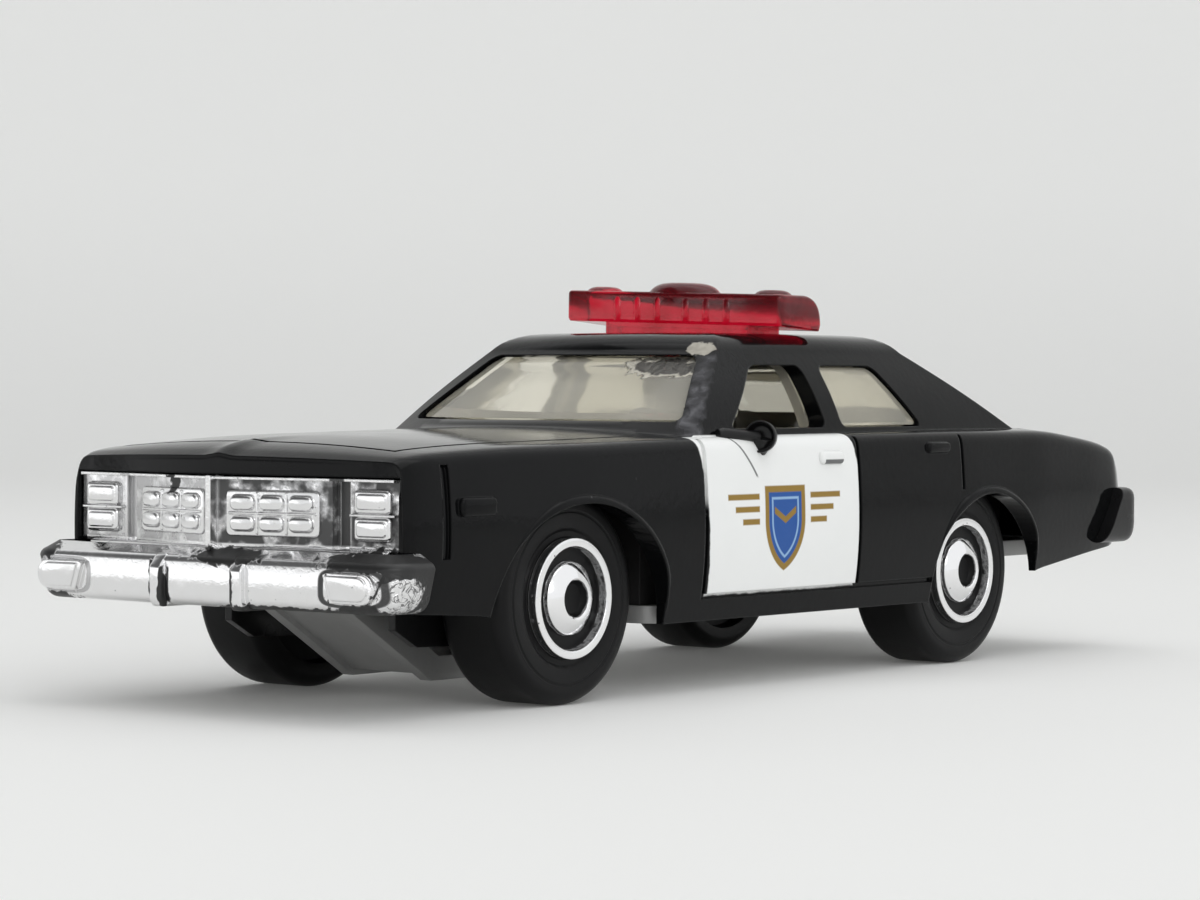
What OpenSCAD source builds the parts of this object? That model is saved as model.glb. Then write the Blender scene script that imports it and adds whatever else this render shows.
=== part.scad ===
// Die-cast toy police sedan: cast body, riveted base, seats, glazing, roof light, trim, axles and wheels.
// Millimetres. +X points to the nose, +Y to the left, +Z up. The tyres stand on Z = 0.

/* [Overall] */
// Distance between the two axles
wheelbase = 39.3; // [38.9:0.1:39.7]
// How far the rear axle lies behind the middle of the length
rear_axle_back = 18; // [17.8:0.1:18.2]
// Half of the length over the bumpers
half_l = 38.6; // [38.4:0.1:38.9]

/* [Body] */
// Half of the body's greatest width
half_w = 12.7; // [12.6:0.05:12.9]
// Thickness of the cast wall
wall = 1; // [0.85:0.05:1.1]
// Height of the lower edge between the wheels
sill_z = 4.1; // [4:0.1:4.4]
// Height of the crease along the doors
crease_z = 14.4; // [14.2:0.1:14.6]
// Height of the bonnet's rear end
cowl_z = 15; // [14.9:0.1:15.2]
// Height of the roof's crown
roof_z = 20.6; // [20.4:0.1:20.9]
// Height of the roof's edge above the doors
rail_z = 19.5; // [19.4:0.1:19.7]
// Half of the roof's width at its edge
rail_w = 8.6; // [8.4:0.1:8.8]
// Half of the glasshouse's width at its foot
belt_w = 11.3; // [11.1:0.1:11.5]
// Half of the front wheel opening's length
front_arch_r = 7.4; // [7.2:0.1:7.6]
// Top of the front wheel opening
front_arch_z = 11.05; // [10.8:0.05:11.3]
// Half of the rear wheel opening's length
rear_arch_r = 6.4; // [6.3:0.1:6.6]
// Top of the rear wheel opening
rear_arch_z = 10.7; // [10.5:0.1:11]
// How far the rear opening's middle lies behind the axle
rear_arch_back = 1.6; // [1.4:0.1:1.8]
// How far lips, handles and lamps stand out of the body
relief = 0.2; // [0.1:0.05:0.3]
// Width of the gaps cast round the doors, bonnet and boot
panel_gap = 0.3; // [0.2:0.05:0.4]
// Radius of the pins that rivet the base on
rivet_r = 0.9; // [0.8:0.05:1]

/* [Wheels] */
// Radius of the tyre
tyre_r = 5.85; // [5.75:0.05:5.9]
// Width of the tyre
tyre_w = 4.5; // [4.4:0.1:4.6]
// Distance from the middle of the car to the tyre's outer face
track_half = 11.35; // [11.25:0.05:11.4]
// Outer radius of the bright ring
ring_r = 3.3; // [3.1:0.1:3.4]
// Width of the bright ring
ring_w = 0.46; // [0.4:0.02:0.6]
// Outer radius of the bright hub cone
hub_r = 2; // [1.9:0.05:2.1]
// Radius of the dark dish in the hub
dish_r = 1.03; // [0.95:0.02:1.1]
// Radius of the axle wire
axle_r = 0.6; // [0.55:0.05:0.65]
// Running clearance round the axle, on the radius
axle_gap = 0.05; // [0.03:0.01:0.08]

/* [Trim] */
// How far the front bumper's ends stand out past the body
bumper_over = 0.8; // [0.7:0.05:0.9]
// Lower edge of the front bumper
bumper_low_z = 5.7; // [5.6:0.05:5.8]
// Upper edge of the front bumper's face
bumper_top_z = 8.3; // [8.2:0.05:8.4]
// Upper edge of the grille and lamps
grille_top_z = 12.35; // [12.2:0.05:12.4]
// Where the grille meets the lamps, from the middle of the car
grille_half_w = 7.3; // [7.2:0.1:7.5]
// Clearance between a pressed-in piece and its opening
trim_gap = 0.1; // [0.06:0.02:0.14]
// Half of the roof light's length
bar_half_l = 8.3; // [8:0.1:8.6]
// Width of the roof light
bar_w = 4.4; // [4:0.1:4.8]
// Where the roof light sits along the car
bar_x = -4.9; // [-5.2:0.1:-4.6]

/* [Hidden] */
$fn = 48;

// Axles
rear_x = -rear_axle_back;
front_x = wheelbase - rear_axle_back;
axle_z = tyre_r;
tyre_in = track_half - tyre_w;

// Ends of the body at its corners, and how far its middle bows out past them
nose_x = half_l - 2.9;
tail_x = -half_l + 1.5;
nose_bow = 1.4;
tail_bow = 0.5;
bow_run = 12;

// Glasshouse: feet of the screens on the middle plane, their tops, and their bows across the car
screen_foot_x = 13;
screen_top_x = 5.2;
back_foot_x = -26.4;
back_top_x = -16.6;
belt_z = crease_z + 0.3;
screen_bow_foot = 3;
screen_bow_top = 1;
back_bow = 0.9;
back_narrow = 0.8;

// Outlines of the body along X: each pair is a place and a value there
width_line = [[tail_x, half_w - 1.2], [tail_x + 1, half_w - 0.75], [tail_x + 4, half_w - 0.5],
    [-26, half_w - 0.15], [rear_x, half_w], [10, half_w], [front_x, half_w], [30, half_w - 0.15],
    [nose_x - 2, half_w - 0.3], [nose_x - 0.5, half_w - 0.5], [nose_x, half_w - 0.75]];
deck_line = [[tail_x, cowl_z - 2.2], [tail_x + 0.7, cowl_z - 1.6], [tail_x + 2.5, cowl_z - 1.15],
    [-31, cowl_z - 0.5], [back_foot_x, cowl_z + 0.15], [screen_foot_x, cowl_z], [30, cowl_z - 0.4],
    [nose_x - 2, cowl_z - 0.8], [nose_x - 0.6, cowl_z - 1.2], [nose_x, cowl_z - 1.55]];
crease_line = [[tail_x, crease_z - 1.9], [tail_x + 0.7, crease_z - 1.35], [tail_x + 3, crease_z - 0.85],
    [-28, crease_z - 0.05], [-16, crease_z + 0.2], [0, crease_z + 0.1], [12, crease_z], [20, crease_z - 0.3],
    [27, crease_z - 0.5], [nose_x - 2.5, crease_z - 0.9], [nose_x - 0.6, crease_z - 1.1],
    [nose_x, crease_z - 1.35]];
sill_line = [[tail_x, sill_z + 3], [-33.5, sill_z + 2.7], [-26, sill_z + 1.7], [-22, sill_z],
    [14, sill_z], [24, sill_z], [29, sill_z + 1.2], [nose_x, sill_z + 1.6]];
// Stations of the body's loft from nose to tail, closer together near both ends
body_steps = 30;
stations = concat([nose_x, nose_x - 0.4],
    [for (i = [0:body_steps]) mix(nose_x - 1, tail_x + 1, i / body_steps)], [tail_x + 0.4, tail_x]);

// Sides lean in below and above their widest line
lean_low = 0.55;
lean_high = 0.35;
side_steps = 6;
deck_steps = 6;

// Windows in the side, as places along X at the foot and the top of the pane
pane_low_z = belt_z + 0.25;
pane_top_z = rail_z - 0.85;
front_pane_x = [[-3.6, 6.3], [-3.4, 1.8]];
rear_pane_x = [[-14.4, -5.3], [-11.4, -5.3]];

// Doors
door_low_z = sill_z + 1.25;
door_front_x = 10.4;
door_mid_x = -5;
door_back_x = -16.5;
wing_seam_x = nose_x - 3.3;

// Bonnet: half of its width between the shut lines, and its front shut line
bonnet_w = half_w - 2.8;
bonnet_front_x = nose_x - 1.95;

// Base: heights of its plates, and the half-widths of its pan and its axle stretch
plate_t = 1;
nose_plate_z = bumper_low_z + 0.1;
tail_plate_z = sill_z + 2.1;
pan_z = sill_z - 0.1;
pan_step = 0.15;
spine_z = pan_z + pan_step;
keel_z = 1.4;
pan_w = half_w - 1.8;
spine_w = 6;
keel_w = 3.3;
rail_t = 0.8;
saddle_t = 1.5;
saddle_y = tyre_in - 0.7 - saddle_t;
nose_post_x = nose_x - 3.7;
tail_post_x = tail_x + 7.1;
nose_plate_w = pan_w - 2;
tail_plate_w = spine_w + 1.5;
post_r = 1.4;

// Interior and glazing
floor_z = pan_z + plate_t;
flange_z = crease_z - 1.2;
tub_w = belt_w - 1.5;
tub_front_x = front_x - 8.3;
tub_back_x = -11.2;
glass_t = 0.65;
glass_gap = 0.06;
pane_sunk = 0.25;
peg_y = 2.2;
peg_r = 0.8;
boss_h = 0.9;

// Roof light
bar_low_z = roof_z + 0.5;
bar_top_z = roof_z + 2.1;
hump_top_z = roof_z + 3.2;

// Front trim
lamp_x = nose_x + 0.2;
grille_x = nose_x + nose_bow + 0.4;
trim_back_x = nose_x - 1.9;
trim_half_w = half_w - 1.4;
lamp_in = grille_half_w + 1;
bumper_half_w = half_w + bumper_over;
bumper_rake = 0.4;
bumper_inner_w = half_w - 0.3;

// Block of the rear bumper that plugs into the tail
tail_plug_x = tail_x + 1.6;
tail_plug_w = half_w - 2.4;
tail_plug_z = sill_z + 5.4;

function soft(x, line, r = 1.2) = (lookup(x - r, line) + 2 * lookup(x, line) + lookup(x + r, line)) / 4;
function mix(a, b, t) = a + (b - a) * t;

// How far a point is carried past its station, so that nose and tail bow out in plan
function bow(x, y, w) = (1 - pow(y / w, 2)) * (x > 0
    ? nose_bow * pow(max(0, (x - nose_x + bow_run) / bow_run), 2)
    : -tail_bow * pow(max(0, (tail_x + bow_run - x) / bow_run), 2));

// Lean of the side at a share of its height
function lean(t) = t < 0.5 ? lean_low * pow(1 - 2 * t, 2) : lean_high * pow(2 * t - 1, 2);

// Half of the body's cross-section, from the sill up to the middle of the deck, o inside the skin
function half_section(x, o, drop) = let (
    w = soft(x, width_line, 0.4) - o,
    low = soft(x, sill_line) - drop,
    crease = soft(x, crease_line, 0.5) - o,
    deck = soft(x, deck_line, 0.5) - o)
    concat(
        [for (i = [0:side_steps]) let (t = i / side_steps) [w - lean(t), mix(low, crease, t)]],
        [for (i = [1:deck_steps]) let (a = i / deck_steps)
            [(w - lean_high) * (1 - a), mix(crease, deck, 1 - pow(1 - a, 2))]]);

// Both halves of an outline whose pairs start with Y, the last of them on the middle plane
function whole(half) = concat(half, [for (i = [len(half) - 2:-1:0]) [-half[i][0], half[i][1]]]);

function section(x, o, drop) = let (half = half_section(x, o, drop), w = half[side_steps][0] + lean_high)
    [for (p = whole(half)) [x + bow(x, p[0], w), p[0], p[1]]];

// Plan outline of the glasshouse at a height, o inside the skin, measured square to each pane
function pane_slope(foot, top) = sqrt(1 + pow((foot - top) / (rail_z - belt_z), 2));
function glass_plan(z, o) = let (
    t = (z - belt_z) / (rail_z - belt_z),
    fx = mix(screen_foot_x, screen_top_x, t) - o * pane_slope(screen_foot_x, screen_top_x),
    bx = mix(back_foot_x, back_top_x, t) + o * pane_slope(back_foot_x, back_top_x),
    fb = mix(screen_bow_foot, screen_bow_top, t),
    side = mix(belt_w, rail_w, t) + 0.25 * sin(180 * min(1, max(0, t))) - o * pane_slope(belt_w, rail_w),
    rear = side - back_narrow * (1 - 0.5 * t))
    whole(concat(
        [for (a = [0.125:0.25:0.875]) [rear * a, bx + back_bow * a * a]],
        [for (i = [0:7]) let (a = i / 8) [mix(rear, side, sin(90 * a)), mix(bx + back_bow, fx - fb, a)]],
        [for (i = [0:6]) let (a = 1 - i / 6) [side * a, fx - fb * a * a]]));

// Rings of the glasshouse: up its sides to the roof's edge, then in over the roof's crown
function glass_ring(z, o) = [for (p = glass_plan(z, o)) [p[1], p[0], z]];
function crown_ring(r, o) = let (
    mid = (screen_top_x + back_top_x) / 2,
    half = (screen_top_x - back_top_x) / 2)
    [for (p = glass_plan(rail_z - o, o)) let (t = atan2(p[0] / rail_w, (p[1] - mid) / half))
        [mid + r * mix(half * cos(t), p[1] - mid, r), r * mix(rail_w * sin(t), p[0], r),
            mix(rail_z, roof_z, 1 - pow(r, 3)) - o]];
function glasshouse_rings(o, low) = concat([for (i = [0:6]) glass_ring(mix(low, rail_z - o, i / 6), o)],
    [for (r = [0.94, 0.84, 0.68, 0.45, 0.15]) crown_ring(r, o)]);

// Closed skin through a list of rings that all hold the same number of points
module loft(rings) {
    n = len(rings[0]);
    last = (len(rings) - 1) * n;
    polyhedron(points = [for (ring = rings, p = ring) p], convexity = 8, faces = concat(
        [for (i = [0:len(rings) - 2], j = [0:n - 1]) [i * n + j, i * n + (j + 1) % n, (i + 1) * n + j]],
        [for (i = [0:len(rings) - 2], j = [0:n - 1])
            [i * n + (j + 1) % n, (i + 1) * n + (j + 1) % n, (i + 1) * n + j]],
        [for (j = [1:n - 2]) [0, j + 1, j]],
        [for (j = [1:n - 2]) [last, last + j, last + j + 1]]));
}

module body_loft(o = 0, drop = 0) {
    loft([for (x = stations) section(x, o, drop)]);
}

// The body's hollow, open below
module body_hollow() {
    front = trim_back_x - trim_gap - wall;
    back = tail_plug_x + trim_gap + wall;
    inside = concat([front], [for (x = stations) if (x > back + 0.1 && x < front - 0.1) x], [back]);
    loft([for (x = inside) section(x, wall, 6)]);
    loft(glasshouse_rings(wall, crease_z - 2.5));
}

// A shape drawn in X and Z and pushed along Y, on both sides of the car
module both_sides(from, to) {
    for (side = [0, 1])
        mirror([0, side, 0])
            translate([0, to, 0])
                rotate([90, 0, 0])
                    linear_extrude(to - from)
                        children();
}

module arch_outline(front, grow = 0) {
    r = (front ? front_arch_r : rear_arch_r) + grow;
    top = (front ? front_arch_z : rear_arch_z) + grow;
    low = sill_z + 0.7;
    translate([front ? front_x : rear_x - rear_arch_back, low])
        polygon(concat([for (a = [0:7.5:180]) [r * cos(a), (top - low) * sin(a)]], [[-r, -4], [r, -4]]));
}

module side_pane(x, gap = 0) {
    low = pane_low_z + gap;
    top = pane_top_z - gap;
    polygon([[x[0][0] + gap, low], [x[0][1] - gap, low], [x[1][1] - gap, top], [x[1][0] + gap, top]]);
}

// Openings for the screen and the back window, drawn in Y and Z and pushed along X
module screen_cut(from, to, low, top, low_w, top_w) {
    translate([from, 0, 0])
        rotate([90, 0, 90])
            linear_extrude(to - from)
                polygon([[-low_w, low], [low_w, low], [top_w, top], [-top_w, top]]);
}

// Openings that hold glass, drawn in by a gap
module glazed_windows(gap = 0) {
    both_sides(6, 14)
        side_pane(rear_pane_x, gap);
    screen_cut(1, 22, cowl_z + 0.35 + gap, rail_z - 0.3 - gap, belt_w - 1.15 - gap, rail_w - 0.9 - gap);
    screen_cut(-30, -12, cowl_z + 1 + gap, rail_z - 0.7 - gap, belt_w - 2.4 - gap, rail_w - 1.5 - gap);
}

// Gaps round the doors, bonnet and boot: thin walls that only bite into the skin
module panel_gaps() {
    g = panel_gap;
    difference() {
        union() {
            both_sides(9, 14) {
                for (x = [door_front_x, door_mid_x])
                    translate([x, door_low_z])
                        square([g, crease_z - door_low_z - 0.1]);
                translate([door_back_x, rear_arch_z + 0.3])
                    square([g, crease_z - rear_arch_z - 0.3]);
                translate([wing_seam_x, sill_z + 4.3])
                    square([2 * g, crease_z - sill_z - 5.4]);
                translate([rear_x + rear_arch_r - rear_arch_back, door_low_z])
                    square([door_front_x + g - rear_x - rear_arch_r + rear_arch_back, g]);
            }
            for (side = [-1, 1]) {
                translate([screen_foot_x + 1, side * bonnet_w - g / 2, crease_z - 1.5])
                    cube([bonnet_front_x + g - screen_foot_x - 1, g, 4]);
                translate([tail_x + 2, side * (half_w - 2.3) - g / 2, crease_z - 2.5])
                    cube([back_foot_x - tail_x - 2, g, 4]);
            }
            translate([tail_x + 2, -half_w + 2.3, crease_z - 2.5])
                cube([g, 2 * half_w - 4.6, 4]);
            translate([bonnet_front_x, -bonnet_w, crease_z - 1.5])
                cube([g, 2 * bonnet_w, 4]);
        }
        body_loft(relief);
    }
}

// Shallow lamp recesses in the tail, above the bumper
module tail_lamps() {
    for (side = [-1, 1])
        translate([tail_x - 10, side * (half_w - 5.2) - 2.6, sill_z + 6.9])
            cube([10.15, 5.2, 1.1]);
}

// Door handles and marker lamps: low rounded pads that follow the side
module pad(x, z, l, h) {
    both_sides(9, 14)
        hull()
            for (dx = [-1, 1], dz = [-1, 1])
                translate([x + dx * (l - h) / 2, z + dz * h / 4])
                    circle(h / 4, $fn = 16);
}

module side_relief() {
    intersection() {
        body_loft(-relief, -0.1);
        union() {
            for (front = [true, false])
                both_sides(9, 14)
                    difference() {
                        arch_outline(front, 0.6);
                        translate([-40, -5])
                            square([80, sill_z + 5.7]);
                    }
            pad(-1.72, crease_z - 1.22, 2.2, 0.6);
            pad(-13.6, crease_z - 0.6, 2.4, 0.6);
            pad(30.1, crease_z - 3.35, 2.7, 0.9);
        }
    }
}

// The spotlight cast onto the left windscreen post
module spotlight() {
    lamp = [4.5, half_w - 0.25, belt_z + 0.1];
    foot = [7.6, belt_w - 0.3, belt_z - 0.2];
    cup_r = 1;
    difference() {
        union() {
            hull() {
                translate(lamp)
                    sphere(0.45, $fn = 16);
                translate(foot)
                    sphere(0.45, $fn = 16);
            }
            translate(lamp)
                rotate([0, 90, 0])
                    cylinder(h = 1.5, r1 = 0.6, r2 = cup_r, center = true, $fn = 24);
        }
        translate([lamp[0] + 1.15, lamp[1], lamp[2]])
            sphere(cup_r - 0.1, $fn = 24);
    }
}

// Posts that carry the base, with a thinner pin through it and a spread head below it
module post(x, plate_low) {
    head_h = 0.45;
    pin_low = plate_low - head_h;
    hull() {
        translate([x, 0, plate_low + plate_t])
            cylinder(h = 0.5, r = post_r, $fn = 32);
        translate([x, 0, soft(x, deck_line) - wall])
            cylinder(h = wall / 2, r = post_r + 0.3, $fn = 32);
    }
    translate([x, 0, pin_low])
        cylinder(h = plate_t + 1, r = rivet_r, $fn = 32);
    translate([x, 0, pin_low])
        cylinder(h = head_h, r1 = rivet_r, r2 = post_r, $fn = 32);
}

module body_shell() {
    color([0.05, 0.05, 0.055]) {
        difference() {
            union() {
                body_loft();
                loft(glasshouse_rings(0, crease_z - 1));
                side_relief();
                spotlight();
            }
            body_hollow();
            glazed_windows();
            both_sides(6, 14)
                side_pane(front_pane_x);
            panel_gaps();
            tail_lamps();
            both_sides(7, 16) {
                arch_outline(true);
                arch_outline(false);
            }
            trim_opening(trim_gap);
            bumper_opening(trim_gap);
            plate_slots(trim_gap);
            for (side = [-1, 1])
                translate([bar_x, side * peg_y, rail_z - 2])
                    cylinder(h = 4, r = peg_r + trim_gap, $fn = 32);
        }
        post(nose_post_x, nose_plate_z);
        post(tail_post_x, tail_plate_z);
    }
}

// Opening in the nose for the plated insert, open at the front and below
module trim_opening(gap) {
    translate([trim_back_x - gap, -trim_half_w - gap, 0])
        cube([20, 2 * (trim_half_w + gap), grille_top_z + gap]);
}

// Opening in the tail for the rear bumper, open behind and below
module bumper_opening(gap) {
    translate([-60, -tail_plug_w - gap, 0])
        cube([60 + tail_plug_x + gap, 2 * (tail_plug_w + gap), tail_plug_z + gap]);
}

// Room for the base's two end plates below the body's end walls
module plate_slots(gap) {
    translate([trim_back_x - 2 * wall, -nose_plate_w - gap, 0])
        cube([20, 2 * (nose_plate_w + gap), nose_plate_z + plate_t + gap]);
    translate([tail_plug_x + 2 * wall - 20, -tail_plate_w - gap, 0])
        cube([20, 2 * (tail_plate_w + gap), tail_plate_z + plate_t + gap]);
}

// Underside of the base in X and Z: nose plate, slanted keel, pan, rear step and tail plate
module keel_outline() {
    nose_end = nose_x - 0.5;
    tail_end = tail_x + 1;
    climb = [front_x + 2.1, front_x + 9.2];
    dip = [tub_front_x + 0.7, tub_front_x + 3];
    rise = [rear_x - 3.5, rear_x - 7.2];
    nose_top = nose_plate_z + plate_t;
    tail_top = tail_plate_z + plate_t;
    keel_top = keel_z + plate_t;
    polygon([[nose_end, nose_plate_z], [climb[1], nose_plate_z], [climb[0], keel_z], [dip[1], keel_z],
        [dip[0], spine_z], [rise[0], spine_z], [rise[1], tail_plate_z], [tail_end, tail_plate_z],
        [tail_end, tail_top], [rise[1] - 0.4, tail_top], [rise[0] - 0.4, floor_z],
        [dip[0] + 0.4, floor_z], [dip[1] + 0.4, keel_top], [climb[0] - 0.6, keel_top],
        [climb[1] - 1, nose_top], [nose_end, nose_top]]);
}

module plate(x0, x1, w, z, t = plate_t) {
    r = 1.5;
    translate([x0, -w, z])
        union() {
            translate([0, r, 0])
                cube([x1 - x0, 2 * (w - r), t]);
            translate([r, 0, 0])
                cube([x1 - x0 - 2 * r, 2 * w, t]);
            for (x = [r, x1 - x0 - r], y = [r, 2 * w - r])
                translate([x, y, 0])
                    cylinder(h = t, r = r);
        }
}

// Two uprights that an axle snaps into from above
module saddles(x) {
    throat = 2 * axle_r - 0.15;
    for (side = [0, 1])
        mirror([0, side, 0])
            difference() {
                translate([x - 1.5, saddle_y, spine_z])
                    cube([3, saddle_t, axle_z + 1.3 - spine_z]);
                translate([x, saddle_y - 1, axle_z])
                    rotate([-90, 0, 0])
                        cylinder(h = saddle_t + 2, r = axle_r + axle_gap);
                translate([x - throat / 2, saddle_y - 1, axle_z])
                    cube([throat, saddle_t + 2, 3]);
            }
}

module base_plate() {
    pipe_r = 0.55;
    hump_r = axle_z - axle_r - spine_z - 0.1;
    spine_t = plate_t - pan_step;
    rails_x = tub_front_x + 1;
    color([0.55, 0.56, 0.57])
        difference() {
            union() {
                translate([0, keel_w, 0])
                    rotate([90, 0, 0])
                        linear_extrude(2 * keel_w)
                            keel_outline();
                for (side = [-1, 1])
                    translate([0, side * (keel_w - rail_t / 2) + rail_t / 2, -0.35])
                        rotate([90, 0, 0])
                            linear_extrude(rail_t)
                                intersection() {
                                    keel_outline();
                                    translate([rails_x, 0])
                                        square([nose_post_x - 1 - rails_x, 20]);
                                }
                plate(tub_back_x, tub_front_x + 0.2, pan_w, pan_z);
                plate(front_x - 9, front_x + 2.5, spine_w, spine_z, spine_t);
                plate(rear_x - 2.5, rear_x + 8, spine_w, spine_z, spine_t);
                plate(front_x + tyre_r + 0.8, nose_x - 0.5, nose_plate_w, nose_plate_z);
                plate(tail_x + 1, rear_x - tyre_r - 0.8, tail_plate_w, tail_plate_z);
                saddles(front_x);
                saddles(rear_x);
                translate([rear_x, -2.4, spine_z])
                    rotate([-90, 0, 0])
                        cylinder(h = 4.8, r = hump_r);
                translate([rear_x - 2.4, spine_w - 1.6, spine_z])
                    rotate([0, 90, 0])
                        cylinder(h = tub_back_x - rear_x + 1.9, r = pipe_r);
            }
            for (p = [[nose_post_x, nose_plate_z], [tail_post_x, tail_plate_z]])
                translate([p[0], 0, p[1] - 2])
                    cylinder(h = plate_t + 4, r = rivet_r + trim_gap);
        }
}

// A bench seat: cushion, then a back that leans
module bench(x, back_top) {
    w = tub_w - 1.4;
    seat_l = 6;
    seat_z = floor_z + 3.8;
    translate([0, w, 0])
        rotate([90, 0, 0])
            linear_extrude(2 * w)
                polygon([[x, floor_z], [x + seat_l, floor_z], [x + seat_l, seat_z - 0.5],
                    [x + seat_l - 0.4, seat_z], [x + 1.9, seat_z - 0.4], [x + 1, back_top - 0.4],
                    [x + 0.6, back_top], [x - 0.4, back_top], [x - 0.7, back_top - 0.4]]);
}

module steering_wheel() {
    rim_r = 1.6;
    wire_r = 0.25;
    column_h = 3.8;
    translate([5.4, belt_w - 6.4, flange_z + 0.6])
        rotate([0, -65, 0]) {
            rotate_extrude()
                translate([rim_r, 0])
                    circle(wire_r, $fn = 24);
            translate([-rim_r, -0.25, -0.2])
                cube([2 * rim_r, 0.5, 0.4]);
            translate([0, 0, -column_h])
                cylinder(h = column_h, r = 0.45);
        }
}

module interior() {
    tub_t = 0.8;
    shelf_back_x = -23;
    dash_l = 4.4;
    dash_h = 2.4;
    color([0.08, 0.08, 0.08]) {
        translate([tub_back_x, -tub_w, floor_z])
            difference() {
                cube([tub_front_x - tub_back_x, 2 * tub_w, flange_z - floor_z]);
                translate([tub_t, tub_t, tub_t])
                    cube([tub_front_x - tub_back_x - 2 * tub_t, 2 * (tub_w - tub_t), flange_z]);
            }
        bench(tub_back_x + 1.6, flange_z + 1.2);
        bench(-3, flange_z + 1.2);
        translate([tub_front_x - dash_l, -tub_w, flange_z - dash_h])
            cube([dash_l, 2 * tub_w, dash_h]);
        translate([shelf_back_x, -tub_w + 1.6, flange_z - tub_t])
            cube([tub_back_x - shelf_back_x + 1, 2 * (tub_w - 1.6), tub_t]);
        steering_wheel();
    }
}

module glazing() {
    outer = wall + glass_gap;
    color([0.8, 0.72, 0.52, 0.5])
        difference() {
            union() {
                difference() {
                    union() {
                        loft(glasshouse_rings(outer, flange_z));
                        intersection() {
                            loft(glasshouse_rings(pane_sunk, flange_z));
                            glazed_windows(trim_gap);
                        }
                    }
                    loft(glasshouse_rings(outer + glass_t, flange_z - 3));
                }
                for (side = [-1, 1])
                    translate([bar_x, side * peg_y, roof_z - outer - glass_t - boss_h])
                        cylinder(h = boss_h + glass_t / 2, r = 2 * peg_r, $fn = 24);
            }
            both_sides(6, 14)
                polygon([[front_pane_x[0][0], flange_z - 1], [front_pane_x[0][1] + 0.6, flange_z - 1],
                    [front_pane_x[1][1] - 0.8, pane_top_z + 0.2], [front_pane_x[1][0], pane_top_z + 0.2]]);
            for (side = [-1, 1])
                translate([bar_x, side * peg_y, rail_z - 4])
                    cylinder(h = 6, r = peg_r + trim_gap, $fn = 24);
        }
}

// End view of the roof light in Y and Z, with round shoulders
module bar_front() {
    r = 1.2;
    union() {
        translate([-bar_half_l, bar_low_z])
            square([2 * bar_half_l, bar_top_z - bar_low_z - r]);
        translate([-bar_half_l + r, bar_low_z])
            square([2 * (bar_half_l - r), bar_top_z - bar_low_z]);
        for (side = [-1, 1])
            translate([side * (bar_half_l - r), bar_top_z - r])
                circle(r);
    }
}

module light_bar() {
    hump_half = 2.4;
    dome_r = 1.5;
    dome_y = 5.7;
    rib = 0.35;
    foot_w = 3.6;
    color([0.75, 0.02, 0.05])
        translate([bar_x, 0, 0]) {
            intersection() {
                translate([-bar_w / 2, 0, 0])
                    rotate([90, 0, 90])
                        linear_extrude(bar_w)
                            bar_front();
                translate([0, bar_half_l, 0])
                    rotate([90, 0, 0])
                        linear_extrude(2 * bar_half_l)
                            polygon([[-bar_w / 2, bar_low_z], [bar_w / 2, bar_low_z],
                                [bar_w / 2 - 0.1, bar_low_z + 0.7], [bar_w / 2 - 0.7, bar_top_z],
                                [0.7 - bar_w / 2, bar_top_z], [0.1 - bar_w / 2, bar_low_z + 0.7]]);
            }
            translate([0, hump_half, 0])
                rotate([90, 0, 0])
                    linear_extrude(2 * hump_half)
                        polygon([[-1.7, bar_low_z], [1.7, bar_low_z], [1.5, hump_top_z - 0.5],
                            [1, hump_top_z], [-1, hump_top_z], [-1.5, hump_top_z - 0.5]]);
            for (side = [-1, 1])
                translate([0, side * dome_y, bar_top_z - 0.9])
                    intersection() {
                        sphere(dome_r);
                        translate([-3, -3, 0])
                            cube(6);
                    }
            for (i = [-2:2])
                translate([bar_w / 2 - 0.8, i * 0.95 - rib / 2, bar_low_z])
                    cube([0.9, rib, bar_top_z - bar_low_z - 0.2]);
            translate([-foot_w / 2, -2.9, roof_z + 0.02])
                cube([foot_w, 5.8, bar_low_z - roof_z]);
            for (side = [-1, 1])
                translate([0, side * peg_y, 0]) {
                    translate([0, 0, roof_z - 3])
                        cylinder(h = 3.5, r = peg_r);
                    translate([0, 0, roof_z - wall - glass_gap - glass_t - boss_h - 0.45])
                        cylinder(h = 0.42, r = 1.5 * peg_r);
                }
        }
}

// Plan of the front bumper: a shallow curve whose ends wrap back round the wings
module bumper_plan() {
    front = half_l - 0.35;
    corner = 2.6;
    end_x = nose_x - 0.9;
    w = bumper_half_w;
    thick = w - bumper_inner_w;
    arc = [for (a = [0:15:90]) [front - 0.25 - corner + corner * cos(a), w - corner + corner * sin(a)]];
    inner = [for (a = [90:-15:0]) [front - 0.25 - corner + (corner - thick) * cos(a),
        w - corner + (corner - thick) * sin(a)]];
    half = concat([[front, 0], [front, w - corner - 4]], arc, [[end_x, w], [end_x, w - thick]], inner,
        [[nose_x - 0.4, w - corner - 0.6]]);
    for (side = [0, 1])
        mirror([0, side, 0])
            polygon(concat(half, [[nose_x - 0.4, 0]]));
}

// A rectangular frame lying in Y and Z, facing +X, with its lower near corner at the origin
module frame(w, h, t, rim) {
    difference() {
        cube([t, w, h]);
        translate([-1, rim, rim])
            cube([t + 2, w - 2 * rim, h - 2 * rim]);
    }
}

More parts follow.
